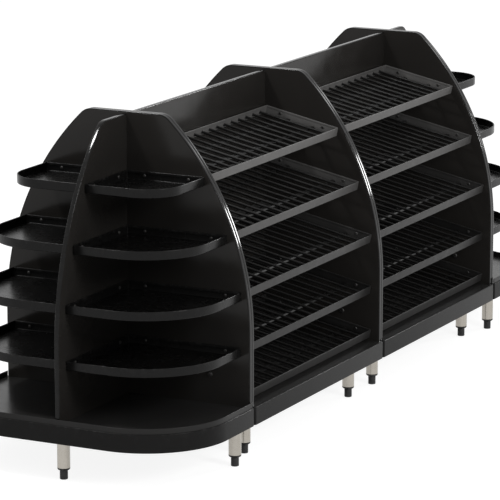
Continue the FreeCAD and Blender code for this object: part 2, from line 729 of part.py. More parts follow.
def outer_top(level, extents, wall, radii):
    """A test for the outer edges of a closed wall's top, in plan a rectangle with round corners."""
    top, half_wall = number(level), number(f"{wall} / 2")
    x0, x1, half = (number(text) for text in extents)
    outer_radii = [number(text) for text in radii]

    def test(edge):
        if not lies_in(edge, "Z", top):
            return False
        if edge.Curve.TypeId == "Part::GeomCircle":
            return any(abs(edge.Curve.Radius - radius) < half_wall for radius in outer_radii)
        spot = edge.CenterOfMass
        return not (x0 + half_wall < spot.x < x1 - half_wall and abs(spot.y) < half - half_wall)

    return test


def skirt_ring(name, left, right, outer, inner):
    """A skirt wall all round, rounded along its top edge."""
    body = new_body(name)
    inside = f"({SKIRT_HALF} - skirt_sheet)"
    plan = new_sketch(body, "XY_Plane", f"{name}_plan", "skirt_low")
    outline(plan, left, f"-{SKIRT_HALF}", right, SKIRT_HALF, outer)
    outline(plan, f"({left} + skirt_sheet)", f"-{inside}", f"({right} - skirt_sheet)", inside,
            inner)
    pad(body, plan, "deck_top - skirt_low", f"{name}_wall")
    round_edges(body, "skirt_edge", f"{name}_rounding",
                outer_top("deck_top", (left, right, SKIRT_HALF), "skirt_sheet", outer))
    return body


def cap_pan_lip(body, outer, inner):
    """The upturned lip of a cap's pan; it ends at the panel, which stands on the deck."""
    left, right, inside = f"-{PAN_NOSE}", f"-{PAN_START}", RIM_INSIDE
    plan = new_sketch(body, "XY_Plane", "cap_lip_plan", "deck_top")
    outline(plan, left, f"-{PAN_HALF}", right, PAN_HALF, outer)
    outline(plan, f"-{NOSE_INSIDE}", f"-{inside}", f"({right} - pan_sheet)", inside, inner)
    pad(body, plan, "cap_lip", "cap_lip_wall")
    round_edges(body, "pan_sheet / 2", "cap_lip_rounding",
                outer_top("deck_top + cap_lip", (left, right, PAN_HALF), "pan_sheet", outer))
    opening = new_sketch(body, "XY_Plane", "cap_lip_opening", "deck_top")
    outline(opening, f"({right} - skirt_end)", f"-{inside}", "0", inside)
    pocket(body, opening, "cap_lip", "cap_lip_cut", reverse=True)


def cap_base():
    """The pan and the skirt of an end cap."""
    corner, end = f"(skirt_corner - {BEHIND_SKIRT})", f"(skirt_end - {BEHIND_SKIRT})"
    tight, small = f"({corner} - pan_sheet)", f"({end} - pan_sheet)"
    outer, inner = (corner, end, end, corner), (tight, small, small, tight)
    rim, half_bar = f"({RIM_INSIDE} + weld_sink)", f"({PLATE_SIDE} + bar_margin)"
    cross = (f"(-side_leg_end - {half_bar})", f"-{rim}", f"(-side_leg_end + {half_bar})", rim)
    run = (f"-({NOSE_INSIDE} + weld_sink)", f"(-{half_bar})",
           f"(-side_leg_end - {half_bar} + weld_sink)", half_bar)
    pan = base_pan("cap_pan", (f"-{PAN_NOSE}", f"-{PAN_START}"), outer, inner, [cross, run],
                   cap_legs())
    cap_pan_lip(pan, outer, inner)
    wide, narrow = "(skirt_corner - skirt_sheet)", "(skirt_end - skirt_sheet)"
    ring = skirt_ring("cap_ring", f"-{SKIRT_NOSE}", "-joint_gap",
                      ("skirt_corner", "skirt_end", "skirt_end", "skirt_corner"),
                      (wide, narrow, narrow, wide))
    kept = f"({SKIRT_HALF} - skirt_end - skirt_return)"
    window = box("cap_window", "(-joint_gap - 1.5 * skirt_sheet)", f"(-{kept})", "0", "skirt_sheet",
                 kept, PANEL_TOP)
    return pan, shape_of("Part::Cut", "cap_skirt", ring, window)


def bay_base():
    """The pan of a bay and the skirt along its front."""
    end = f"(skirt_end - {BEHIND_SKIRT})"
    small = f"({end} - pan_sheet)"
    start = f"({PAN_START} + pan_sheet - weld_sink)"
    stop = f"(bay_pitch - {start})"
    near = f"({BAY_LEG} - {PLATE_INWARD} - bar_margin)"
    far = f"({BAY_LEG} + {PLATE_OUTWARD} + bar_margin)"
    rails = [(start, near, stop, far), (start, f"-{far}", stop, f"-{near}")]
    pan = base_pan("bay_pan", (PAN_START, f"(bay_pitch - {PAN_START})"), (end,) * 4,
                   (small,) * 4, rails, bay_legs())
    ring = skirt_ring("bay_ring", "joint_gap", "(bay_pitch - joint_gap)", ("skirt_end",) * 4,
                      ("(skirt_end - skirt_sheet)",) * 4)
    kept = f"({SKIRT_HALF} - skirt_end - skirt_return)"
    front = box("bay_front", "(-skirt_sheet)", f"(-2 * {SKIRT_HALF})", "0",
                "(bay_pitch + skirt_sheet)", f"(-{kept})", PANEL_TOP)
    return pan, shape_of("Part::Common", "bay_skirt", ring, front)


def build_bases():
    """Pans carry the panels; skirts hide the pans' rims and the tops of the legs."""
    cap_pan, cap_skirt = cap_base()
    bay_pan, bay_skirt = bay_base()
    for cap, (joint, turn) in CAPS.items():
        keep(placed([cap_pan], f"{cap}_pan_set", joint, turn=turn), f"{cap}_base_pan")
        keep(placed([cap_skirt], f"{cap}_skirt_set", joint, turn=turn), f"{cap}_skirt")
    pans, skirts = [], []
    for bay, begin in BAYS.items():
        pans.append(placed([bay_pan], f"{bay}_pan", begin))
        skirts.append(placed([bay_skirt], f"{bay}_skirt_front", begin))
        skirts.append(placed([bay_skirt], f"{bay}_skirt_back", f"({begin} + bay_pitch)", turn=180))
    keep(placed(pans, "both_bay_pans"), "bay_base_pans")
    keep(placed(skirts, "all_bay_skirts"), "bay_skirts")


# ---------------------------------------------------------------- legs and levelling feet

def leg():
    """A tube under a square-cornered plate; the plate's short side faces outward, to -Y."""
    body = new_body("leg")
    tube = new_sketch(body, "XY_Plane", "leg_tube", TUBE_LOW)
    circles(tube, TUBE, [("0", "0")])
    circles(tube, f"({TUBE} - leg_wall)", [("0", "0")])
    pad(body, tube, f"({PLATE_LOW} - {TUBE_LOW})", "leg_tube_length")
    plate = new_sketch(body, "XY_Plane", "leg_plate_plan", PLATE_LOW)
    outline(plate, f"-{PLATE_SIDE}", f"-{PLATE_OUTWARD}", PLATE_SIDE, PLATE_INWARD)
    pad(body, plate, "leg_plate", "leg_plate_block")
    holes(body, "XY_Plane", "leg_plate_holes", PLATE_LOW, "(leg_bolt_dia / 2 + clear_gap)",
          leg_bolt_spots(), "leg_plate", reverse=True)
    return body


def insert():
    """The moulded plug that closes the tube and carries the foot's stem."""
    bore, inner = "(stem_dia / 2 + stem_gap)", f"({TUBE} - leg_wall - insert_gap)"
    low, rim, top = "foot_height", TUBE_LOW, f"({TUBE_LOW} + insert_long)"
    bevel = "(insert_rim * 3 / 4)"
    return revolved("insert", [(bore, low), (f"({TUBE} - {bevel})", low),
                               (TUBE, f"({low} + {bevel})"), (TUBE, rim), (inner, rim),
                               (inner, top), (bore, top)])


def foot():
    """A levelling foot: a short round foot under a threaded stem."""
    radius, stem, bevel = "(foot_dia / 2)", "(stem_dia / 2)", "foot_chamfer"
    top = "(foot_height + stem_long)"
    return revolved("foot", [("0", "0"), (f"({radius} - {bevel})", "0"), (radius, bevel),
                             (radius, "foot_height"), (stem, "foot_height"), (stem, top), ("0", top)])


def all_legs():
    """Every leg as (name, along, across, turn) in the rack's frame."""
    names = {"near_cap": ("near_cap_fin", "near_cap_front", "near_cap_back"),
             "far_cap": ("far_cap_fin", "far_cap_back", "far_cap_front")}
    spots = []
    for cap, (joint, turn) in CAPS.items():
        sign = "-" if turn else ""
        for name, (along, across, face) in zip(names[cap], cap_legs()):
            spots.append((name, f"({joint} + ({sign}{along}))", f"({sign}{across})", face + turn))
    for bay, start in BAYS.items():
        ends = ("left_front", "left_back", "right_front", "right_back")
        for end, (along, across, face) in zip(ends, bay_legs()):
            spots.append((f"{bay}_{end}", f"({start} + {along})", across, face))
    return spots


def build_legs():
    leg_body, insert_body, foot_body = leg(), insert(), foot()
    legs, inserts = [], []
    for name, along, across, turn in all_legs():
        legs.append(placed([leg_body], f"{name}_leg", along, across, turn))
        inserts.append(placed([insert_body], f"{name}_insert", along, across))
        keep(placed([foot_body], f"{name}_foot_set", along, across), f"{name}_foot")
    keep(placed(legs, "all_legs"), "leg_tubes")
    keep(placed(inserts, "all_inserts"), "leg_inserts")


# ---------------------------------------------------------------- fasteners

def headed_screw(name, shank, length, head, head_high):
    """A screw that points along +Z from the seat of its bevelled head."""
    radius, half, bevel = f"({shank} / 2)", f"({head} / 2)", f"({head_high} / 3)"
    return revolved(name, [("0", f"-{head_high}"), (f"({half} - {bevel})", f"-{head_high}"),
                           (half, f"-({head_high} - {bevel})"), (half, "0"), (radius, "0"),
                           (radius, length), ("0", length)])


def joint_bolt():
    """A barrel bolt with a low round head on both sides of a pair of panels."""
    radius, half = "(joint_bolt_dia / 2)", "(joint_bolt_head / 2)"
    high, span, bevel = "joint_bolt_head_high", "(2 * panel_plate)", "(joint_bolt_head_high / 2)"
    return revolved("joint_bolt", [
        ("0", f"-{high}"), (f"({half} - {bevel})", f"-{high}"), (half, f"-({high} - {bevel})"),
        (half, "0"), (radius, "0"), (radius, span), (half, span),
        (half, f"({span} + {high} - {bevel})"), (f"({half} - {bevel})", f"({span} + {high})"),
        ("0", f"({span} + {high})")])


def shelf_screw_places():
    """Screws that hold the slatted shelves to the panels at both ends of each bay."""
    seat = number("panel_plate + lip_sheet")
    ends = ((seat, -1), (number("bay_pitch") - seat, 1))
    places = []
    for level in ALL_LEVELS:
        for across, up in shelf_screw_spots(level):
            for start in BAYS.values():
                for offset, way in ends:
                    for sign in SIDES.values():
                        point = (number(start) + offset, sign * number(across), number(up))
                        places.append(aimed(point, (way, 0, 0)))
    return places


def tray_screw_places():
    """Screws through the trays' walls into the cap panels and the fins."""
    places = []
    panel_seat, fin_seat = number("panel_plate + lip_sheet"), number("panel_plate / 2 + lip_sheet")
    for joint, turn in CAPS.values():
        start, way = number(joint), -1 if turn == 0 else 1
        for level in SHELF_LEVELS:
            for out, up in tray_screw_spots(level):
                run, high = number(out), number(up)
                for sign in SIDES.values():
                    at_panel = (start + way * panel_seat, sign * run, high)
                    at_fin = (start + way * run, sign * fin_seat, high)
                    places.append(aimed(at_panel, (-way, 0, 0)))
                    places.append(aimed(at_fin, (0, -sign, 0)))
    return places


def joint_bolt_places():
    places = []
    for joint in ("-bay_pitch", "0", "bay_pitch"):
        for across, up in joint_bolt_spots():
            point = (number(f"{joint} - panel_plate"), number(across), number(up))
            places.append(aimed(point, (1, 0, 0)))
    return places


def leg_bolt_places():
    """Bolts from below through the leg plates into the bars."""
    seat = number(PLATE_LOW)
    places = []
    for _, along, across, turn in all_legs():
        spin = Rotation(Vector(0, 0, 1), turn)
        axis = Vector(number(along), number(across), seat)
        for side, run in leg_bolt_spots():
            offset = spin.multVec(Vector(number(side), number(run), 0))
            places.append(Placement(axis + offset, Rotation()))
    return places


def build_fasteners():
    screw = headed_screw("shelf_screw", "screw_dia", SCREW_LONG, "screw_head", "screw_head_high")
    bolt = headed_screw("leg_bolt", "leg_bolt_dia", "(leg_plate + bar_thick)", "leg_bolt_head",
                        "leg_bolt_head_high")
    many(screw, "shelf_screws", shelf_screw_places() + tray_screw_places())
    many(joint_bolt(), "joint_bolts", joint_bolt_places())
    many(bolt, "leg_bolts", leg_bolt_places())


# ---------------------------------------------------------------- build, check, write

def check():
    """Stop if any object failed or any sub-part is not a sound solid."""
    for item in doc.Objects:
        if "Invalid" in item.State or "Error" in item.State:
            raise ValueError(f"{item.Label} failed: {item.State}")
    for item in NODES:
        shape = item.Shape
        if shape.isNull() or not shape.isValid() or not shape.Solids:
            raise ValueError(f"{item.Label} is not a sound solid")


def write():
    os.makedirs("parts", exist_ok=True)
    for item in NODES:
        item.Shape.exportStep(os.path.join("parts", f"{item.Label}.step"))
        solids = item.Shape.Solids
        print(f"{item.Label}: {len(solids)} solid(s), {sum(s.Volume for s in solids) / 1e6:.3f} l")
    print(f"{len(NODES)} nodes")


build_boards()
build_trays()
build_shelves()
build_bases()
build_legs()
build_fasteners()
doc.recompute()
check()
write()
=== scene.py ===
import math

import bmesh
import bpy
from mathutils import Matrix, Vector


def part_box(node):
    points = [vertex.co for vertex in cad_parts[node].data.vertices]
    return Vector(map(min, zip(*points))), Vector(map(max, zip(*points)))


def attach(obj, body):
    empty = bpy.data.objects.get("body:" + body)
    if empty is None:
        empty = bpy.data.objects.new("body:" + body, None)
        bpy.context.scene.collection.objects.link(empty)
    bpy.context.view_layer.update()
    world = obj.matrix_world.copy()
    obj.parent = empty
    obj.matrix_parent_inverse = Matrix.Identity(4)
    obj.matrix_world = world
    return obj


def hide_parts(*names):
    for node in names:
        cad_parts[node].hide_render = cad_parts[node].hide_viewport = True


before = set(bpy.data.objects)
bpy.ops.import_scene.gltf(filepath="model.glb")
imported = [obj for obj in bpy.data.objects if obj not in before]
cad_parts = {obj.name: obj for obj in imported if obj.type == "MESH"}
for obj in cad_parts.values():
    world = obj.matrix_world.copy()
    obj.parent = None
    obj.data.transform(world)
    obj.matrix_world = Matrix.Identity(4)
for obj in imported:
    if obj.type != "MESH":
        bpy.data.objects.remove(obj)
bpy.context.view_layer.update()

# Double-sided island bread rack: two straight bays between two round-cornered end caps.
# X runs along the rack, Y across it, Z up from the floor; all sizes are in metres.

BAYS = ("bay_a", "bay_b")
CAPS = {"near_cap": -1, "far_cap": 1}          # the way each cap faces along X
SIDES = {"front": -1, "back": 1}               # the way each side faces along Y
LEVELS = (1, 2, 3, 4)
LEGS = [name[:-len("_foot")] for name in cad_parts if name.endswith("_foot")]

BAY_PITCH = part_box("bay_a_right_panel")[1].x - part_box("bay_a_left_panel")[0].x
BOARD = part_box("bay_a_divider")[1].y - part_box("bay_a_divider")[0].y
JOINTS = (-BAY_PITCH, 0.0, BAY_PITCH)
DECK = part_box("bay_a_divider")[0].z
FACE = BOARD / 2                  # from a divider's or a fin's middle to its face
QUARTER_TURN = math.pi / 2


# -------------------------------------------- node tree helpers

def feed(tree, socket, value):
    """Wires a socket to another socket, or writes a plain value on it."""
    if isinstance(value, bpy.types.NodeSocket):
        tree.links.new(value, socket)
    else:
        socket.default_value = value


def add(tree, kind, inputs=(), **settings):
    """A node with its settings and its inputs, given by name or by number."""
    item = tree.nodes.new(kind)
    for key, value in settings.items():
        setattr(item, key, value)
    for key, value in dict(inputs).items():
        feed(tree, item.inputs[key], value)
    return item


def noise(tree, place, size, detail, roughness=0.5):
    """Cloudy noise whose patches are about `size` metres across."""
    return add(tree, "ShaderNodeTexNoise", {"Vector": place, "Scale": 1 / size, "Detail": detail,
                                            "Roughness": roughness}).outputs["Fac"]


def ramp(tree, value, start, end):
    """A value spread from the range `start` to the range `end`, held at both ends."""
    spread = add(tree, "ShaderNodeMapRange", {
        "Value": value, "From Min": start[0], "From Max": start[1],
        "To Min": end[0], "To Max": end[1]})
    return spread.outputs["Result"]


def maths(tree, how, a, b):
    return add(tree, "ShaderNodeMath", {0: a, 1: b}, operation=how).outputs[0]


def times(tree, a, b):
    return maths(tree, "MULTIPLY", a, b)


def blended(tree, share, first, second):
    """Two colours mixed by a share of the second."""
    mix = add(tree, "ShaderNodeMix", {0: share, 6: first, 7: second}, data_type="RGBA")
    return mix.outputs[2]


def bump(tree, height, depth, below=None):
    inputs = {"Height": height, "Distance": depth, "Strength": 1.0}
    if below is not None:
        inputs["Normal"] = below
    return add(tree, "ShaderNodeBump", inputs).outputs["Normal"]


# -------------------------------------------- finishes

def new_finish(name, metallic=0.0, specular=0.5):
    """An empty finish: its tree, the shader, the place on the piece and its wear mask."""
    skin = bpy.data.materials.new(name)
    skin.use_nodes = True
    tree = skin.node_tree
    shader = tree.nodes["Principled BSDF"]
    shader.inputs["Metallic"].default_value = metallic
    shader.inputs["Specular IOR Level"].default_value = specular
    place = add(tree, "ShaderNodeTexCoord").outputs["Object"]
    edge = add(tree, "ShaderNodeAttribute", attribute_name="wear").outputs["Fac"]
    patches = noise(tree, place, size=0.022, detail=4.0, roughness=0.6)
    worn = times(tree, edge, ramp(tree, patches, (0.5, 0.72), (0.0, 1.0)))
    return skin, tree, shader, place, worn


def surface(tree, shader, colour, roughness, normal):
    """Wires a finish's colour, roughness and relief to its shader."""
    feed(tree, shader.inputs["Base Color"], colour)
    feed(tree, shader.inputs["Roughness"], roughness)
    feed(tree, shader.inputs["Normal"], normal)


def grey(level, warm=0.0):
    return (level * (1 + warm), level, level * (1 - warm), 1.0)


def board_face(name):
    """Black gloss laminate: faint clouds, fine specks, and patches dulled by wiping."""
    skin, tree, shader, place, worn = new_finish(name, specular=0.16)
    clouds = noise(tree, place, size=0.16, detail=4.0)
    specks = ramp(tree, noise(tree, place, size=0.0022, detail=2.0), (0.64, 0.78), (0.0, 0.3))
    base = blended(tree, clouds, grey(0.014, warm=0.08), grey(0.02, warm=0.08))
    base = blended(tree, specks, base, grey(0.034, warm=0.06))
    colour = blended(tree, times(tree, worn, 0.5), base, grey(0.05))
    wiped = noise(tree, place, size=0.07, detail=5.0, roughness=0.6)
    dull = ramp(tree, wiped, (0.3, 0.7), (0.13, 0.2))
    sag = bump(tree, noise(tree, place, size=0.05, detail=1.0), 0.00018)
    grain = bump(tree, noise(tree, place, size=0.0011, detail=2.0), 0.000006, sag)
    surface(tree, shader, colour, dull, grain)
    return skin


def edge_band(name):
    """The glossier plastic band round a board, a little wavy and scuffed at its crown."""
    skin, tree, shader, place, worn = new_finish(name, specular=0.17)
    tone = noise(tree, place, size=0.05, detail=3.0)
    base = blended(tree, tone, grey(0.003, warm=0.05), grey(0.006, warm=0.05))
    colour = blended(tree, times(tree, worn, 0.25), base, grey(0.02))
    gloss = ramp(tree, noise(tree, place, size=0.03, detail=4.0), (0.3, 0.7), (0.07, 0.11))
    dull = maths(tree, "ADD", gloss, times(tree, worn, 0.03))
    wave = bump(tree, noise(tree, place, size=0.05, detail=1.0), 0.00005)
    grain = bump(tree, noise(tree, place, size=0.0009, detail=2.0), 0.0000015, wave)
    surface(tree, shader, colour, dull, grain)
    return skin


def powder_coat(name, tone, gloss, specular):
    """Satin powder coat: orange peel, fine specks, and thin spots where edges are rubbed."""
    skin, tree, shader, place, worn = new_finish(name, specular=specular)
    clouds = noise(tree, place, size=0.11, detail=3.0)
    specks = ramp(tree, noise(tree, place, size=0.0016, detail=2.0), (0.6, 0.74), (0.0, 0.4))
    base = blended(tree, clouds, grey(tone * 0.85, warm=0.025), grey(tone * 1.15, warm=0.025))
    base = blended(tree, specks, base, grey(tone * 1.9))
    colour = blended(tree, times(tree, worn, 0.35), base, grey(0.06 + tone, warm=0.02))
    patches = noise(tree, place, size=0.045, detail=5.0, roughness=0.6)
    dull = ramp(tree, patches, (0.3, 0.7), gloss)
    peel = bump(tree, noise(tree, place, size=0.0026, detail=1.0), 0.00003)
    grain = bump(tree, noise(tree, place, size=0.0007, detail=2.0), 0.000008, peel)
    surface(tree, shader, colour, dull, grain)
    return skin


def satin_tube(name):
    """Satin nickel on a drawn tube: streaks along the tube and a soft sheen."""
    pale, deep, cloudy = (0.46, 0.43, 0.385, 1.0), (0.34, 0.32, 0.285, 1.0), (0.3, 0.275, 0.24, 1.0)
    skin, tree, shader, place, _ = new_finish(name, metallic=1.0)
    along = (1.0, 1.0, 0.03)
    drawn = add(tree, "ShaderNodeMapping", {"Vector": place, "Scale": along}).outputs[0]
    streaks = noise(tree, drawn, size=0.0012, detail=4.0, roughness=0.6)
    clouds = ramp(tree, noise(tree, place, size=0.03, detail=3.0), (0.45, 0.8), (0.0, 0.35))
    colour = blended(tree, clouds, blended(tree, streaks, deep, pale), cloudy)
    dull = ramp(tree, streaks, (0.25, 0.75), (0.2, 0.34))
    surface(tree, shader, colour, dull, bump(tree, streaks, 0.00002))
    return skin


def moulded_nylon(name, tone):
    """Moulded nylon: matt, lightly sparked, with a scuffed lower edge."""
    skin, tree, shader, place, worn = new_finish(name, specular=0.2)
    tint = noise(tree, place, size=0.012, detail=3.0)
    base = blended(tree, tint, grey(tone * 0.8), grey(tone * 1.2))
    colour = blended(tree, times(tree, worn, 0.6), base, grey(0.14))
    dull = ramp(tree, noise(tree, place, size=0.006, detail=3.0), (0.3, 0.7), (0.42, 0.58))
    sparks = bump(tree, noise(tree, place, size=0.0006, detail=2.0), 0.00004)
    surface(tree, shader, colour, dull, sparks)
    return skin


def black_oxide(name):
    """Blackened steel of screws and bolts, with bright metal where drivers have slipped."""
    skin, tree, shader, place, worn = new_finish(name, metallic=0.7)
    tint = noise(tree, place, size=0.004, detail=3.0)
    base = blended(tree, tint, grey(0.035, warm=0.03), grey(0.06, warm=0.03))
    colour = blended(tree, worn, base, grey(0.25))
    dull = ramp(tree, noise(tree, place, size=0.002, detail=3.0), (0.3, 0.7), (0.32, 0.5))
    grain = bump(tree, noise(tree, place, size=0.0004, detail=2.0), 0.00001)
    surface(tree, shader, colour, dull, grain)
    return skin


DECK_LEVEL = 5                    # the slatted base deck, below the four shelves
# Painted light: every shelf wall is one powder coat, but each level gets its own copy, painted
# lighter on the upper shelves and darker on the lower ones and the deck, in place of the light and
# reflections that reach each level.
SHELF_PAINTED_LIGHT_TONES = {1: 0.105, 2: 0.067, 3: 0.034, 4: 0.016, DECK_LEVEL: 0.024}

LAMINATE = board_face("black_laminate")
BAND = edge_band("board_edge_band")
TRAY_COAT = powder_coat("tray_powder_coat", 0.005, gloss=(0.22, 0.3), specular=0.14)
SHELF_PAINTED_LIGHT_COATS = {level: powder_coat(f"shelf_painted_light_coat_{level}", tone, gloss=(0.3, 0.4),
                                  specular=0.09)
               for level, tone in SHELF_PAINTED_LIGHT_TONES.items()}
ROD_COAT = powder_coat("rod_powder_coat", 0.01, gloss=(0.25, 0.35), specular=0.2)
SKIRT_COAT = powder_coat("skirt_powder_coat", 0.0095, gloss=(0.2, 0.27), specular=0.065)
PAN_COAT = powder_coat("pan_powder_coat", 0.02, gloss=(0.2, 0.27), specular=0.1)
TUBE_METAL = satin_tube("satin_nickel")
NYLON = moulded_nylon("foot_nylon", 0.03)
PLUG_NYLON = moulded_nylon("plug_nylon", 0.006)
SCREW_STEEL = black_oxide("black_oxide_steel")


# -------------------------------------------- mesh helpers

def finished(name, bm, body, skins, nodes, sharp=32):
    """A piece from its bmesh: outward faces, smooth where gentle, riding on its body."""
    bmesh.ops.recalc_face_normals(bm, faces=bm.faces)
    mesh = bpy.data.meshes.new(name)
    bm.to_mesh(mesh)
    bm.free()
    return dressed(name, mesh, body, skins, nodes, sharp)


def dressed(name, mesh, body, skins, nodes, sharp=32):
    """A piece from its mesh, put in place of CAD nodes and riding on its body."""
    mesh.name = name
    for skin in skins:
        if skin.name not in mesh.materials:
            mesh.materials.append(skin)
    mesh.shade_smooth()
    mesh.set_sharp_from_angle(angle=math.radians(sharp))
    piece = bpy.data.objects.new(name, mesh)
    bpy.context.scene.collection.objects.link(piece)
    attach(piece, body)
    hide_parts(*nodes)
    return piece


def start_mesh():
    """An empty bmesh with a layer that marks edges that get rubbed."""
    bm = bmesh.new()
    return bm, bm.verts.layers.float.new("wear")


def turn_points(centre, radius, start, stop, steps):
    """Points round an arc, each with its outward direction: (x, y, nx, ny)."""
    points = []
    for i in range(steps + 1):
        angle = start + (stop - start) * i / steps
        nx, ny = math.cos(angle), math.sin(angle)
        points.append((centre[0] + radius * nx, centre[1] + radius * ny, nx, ny))
    return points


def rounded_plan(x0, y0, x1, y1, radii, fine=0.008):
    """A closed plan with four rounded corners, from lower left round to upper left."""
    corners = [(x0, y0, 1, 1), (x1, y0, -1, 1), (x1, y1, -1, -1), (x0, y1, 1, -1)]
    points = []
    for i, (x, y, sx, sy) in enumerate(corners):
        radius = radii[i]
        start = math.pi + i * QUARTER_TURN
        steps = min(max(4, round(radius * QUARTER_TURN / fine)), 28)
        points += turn_points((x + sx * radius, y + sy * radius), radius, start,
                              start + QUARTER_TURN, steps)
    return points


def neighbours(rings, closed):
    pairs = list(zip(rings, rings[1:]))
    if closed:
        pairs.append((rings[-1], rings[0]))
    return pairs


def stitched(bm, rings):
    """Faces round and round between rings; a ring may be one point repeated."""
    for near, far in neighbours(rings, False):
        for i in range(len(near)):
            j = (i + 1) % len(near)
            corners = list(dict.fromkeys((near[i], near[j], far[j], far[i])))
            if len(corners) > 2:
                bm.faces.new(corners)


def sweep(bm, wear, path, section, lay, closed):
    """Rings of a section carried along a path; section points are (inward, up, wear)."""
    rings = []
    for x, y, nx, ny in path:
        ring = []
        for inward, up, worn in section:
            vert = bm.verts.new(lay(x - nx * inward, y - ny * inward, up))
            vert[wear] = worn
            ring.append(vert)
        rings.append(ring)
    for near, far in neighbours(rings, closed):
        for i in range(len(section) - 1):
            bm.faces.new((near[i], near[i + 1], far[i + 1], far[i]))
    return rings


def close_section(bm, rings, closed):
    """The face that joins a section's last point to its first, and end caps of an open run."""
    for near, far in neighbours(rings, closed):
        bm.faces.new((near[-1], near[0], far[0], far[-1]))
    if not closed:
        bm.faces.new(rings[0])
        bm.faces.new(rings[-1][::-1])


def quarter(centre, radius, start, steps, worn, sense=1):
    """Section points round a quarter turn; `start` counts quarter turns."""
    points = []
    for i in range(steps + 1):
        angle = (start + sense * i / steps) * QUARTER_TURN
        points.append((centre[0] + radius * math.cos(angle), centre[1] + radius * math.sin(angle),
                       worn))
    return points


# -------------------------------------------- boards

SIDE_START = DECK + 0.253         # where a board's side begins to curve in
TOP_HALF = 0.155                  # half width of a panel's flat top, to the virtual corner
TOP_CORNER = 0.060                # radius between a board's side and its flat top
EDGE_ROUND = 0.0024               # radius of the band's rounded edges
BAND_IN = 0.0034                  # how far the edge band reaches over a board's faces
BAND_SLOPE = 0.0004               # where the band's flat begins to sink into the groove
BAND_SHY = 0.00008                # how far it has sunk there
GROOVE = 0.0005                   # the fine groove between the band and the laminate

PANEL_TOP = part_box("near_cap_panel")[1].z
PANEL_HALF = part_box("near_cap_panel")[1].y
CURVE_IN = PANEL_HALF - TOP_HALF
CURVE_UP = PANEL_TOP - SIDE_START
SIDE_RADIUS = (CURVE_IN ** 2 + CURVE_UP ** 2) / (2 * CURVE_IN)


def beehive_side(half, top):
    """One side of the beehive outline from the foot to the flat top: (out, up, outward)."""
    inner = SIDE_RADIUS - TOP_CORNER
    lift = math.asin((top - TOP_CORNER - SIDE_START) / inner)
    centre = (half - SIDE_RADIUS, SIDE_START)
    corner = (centre[0] + inner * math.cos(lift), top - TOP_CORNER)
    side = [(half, DECK, 1.0, 0.0)]
    side += turn_points(centre, SIDE_RADIUS, 0.0, lift, 44)
    side += turn_points(corner, TOP_CORNER, lift, QUARTER_TURN, 12)[1:]
    return side


def board(node, path, corners, lay):
    """A laminated board: a flat core, and a rounded band along every edge on the path."""
    half = FACE
    bm, wear = start_mesh()
    inner = BAND_IN + GROOVE
    core = [(inner, half, 0), (BAND_IN, half - GROOVE, 0), (BAND_IN, GROOVE - half, 0),
            (inner, -half, 0)]
    rings = sweep(bm, wear, path, core, lay, False)
    extra = [[bm.verts.new(lay(x, y, up)) for up in (half, -half)] for x, y in corners]
    bm.faces.new([ring[0] for ring in rings] + [pair[0] for pair in extra])
    bm.faces.new(([ring[-1] for ring in rings] + [pair[1] for pair in extra])[::-1])
    if extra:
        bm.faces.new(rings[-1][::-1] + extra[0])
        for near, far in zip(extra, extra[1:]):
            bm.faces.new((near[0], near[1], far[1], far[0]))
        bm.faces.new(rings[0] + [extra[-1][1], extra[-1][0]])
    else:
        bm.faces.new(rings[0] + rings[-1][::-1])
    finished(f"{node}_board", bm, "rack", [LAMINATE], [node])

    bm, wear = start_mesh()
    crown, flat = EDGE_ROUND, half - EDGE_ROUND
    band = [(BAND_IN, half - GROOVE, 0), (BAND_IN - BAND_SLOPE, half - BAND_SHY, 0)]
    band += quarter((crown, flat), crown, 1, 6, worn=0.9)
    band += quarter((crown, -flat), crown, 2, 6, worn=0.9)
    band += [(BAND_IN - BAND_SLOPE, BAND_SHY - half, 0), (BAND_IN, GROOVE - half, 0)]
    rings = sweep(bm, wear, path, band, lay, False)
    close_section(bm, rings, False)
    finished(f"{node}_edge_band", bm, "rack", [BAND], [node], sharp=50)


def build_boards():
    side = beehive_side(PANEL_HALF, PANEL_TOP)
    full = side + [(-y, z, -ny, nz) for y, z, ny, nz in reversed(side)]
    panels = [f"{cap}_panel" for cap in CAPS]
    panels += [f"{bay}_{end}_panel" for bay in BAYS for end in ("left", "right")]
    for node in panels:
        low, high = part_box(node)
        middle = (low.x + high.x) / 2
        board(node, full, [], lambda y, z, x, at=middle: (at + x, y, z))
    for cap, way in CAPS.items():
        node = f"{cap}_fin"
        low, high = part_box(node)
        joint = way * BAY_PITCH
        reach = max(abs(low.x), abs(high.x)) - BAY_PITCH
        outline = beehive_side(reach, high.z)
        outline.append((BOARD, high.z, 0.0, 1.0))
        board(node, outline, [(BOARD, DECK)],
              lambda x, z, y, at=joint, to=way: (at + to * x, y, z))
    for bay in BAYS:
        node = f"{bay}_divider"
        low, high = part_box(node)
        span = [(high.x, high.z, 0.0, 1.0), ((low.x + high.x) / 2, high.z, 0.0, 1.0),
                (low.x, high.z, 0.0, 1.0)]
        board(node, span, [(low.x, DECK), (high.x, DECK)], lambda x, z, y: (x, y, z))


# -------------------------------------------- end cap trays

TRAY_FLATS = {1: 0.184, 2: 0.168, 3: 0.174, 4: 0.174}   # straight part of a tray's front
SHEET = 0.002
BEND = 0.004                      # outer radius where a floor is folded up into its wall
HEM = 0.0019                      # radius of the folded hem along a lip
HEM_DEEP = 0.009                  # from a lip's top to the end of its hem
TIGHT = 0.0045                    # a folded tray's small corners
CREASE = 0.0006                   # the flat beside a fold or a hem


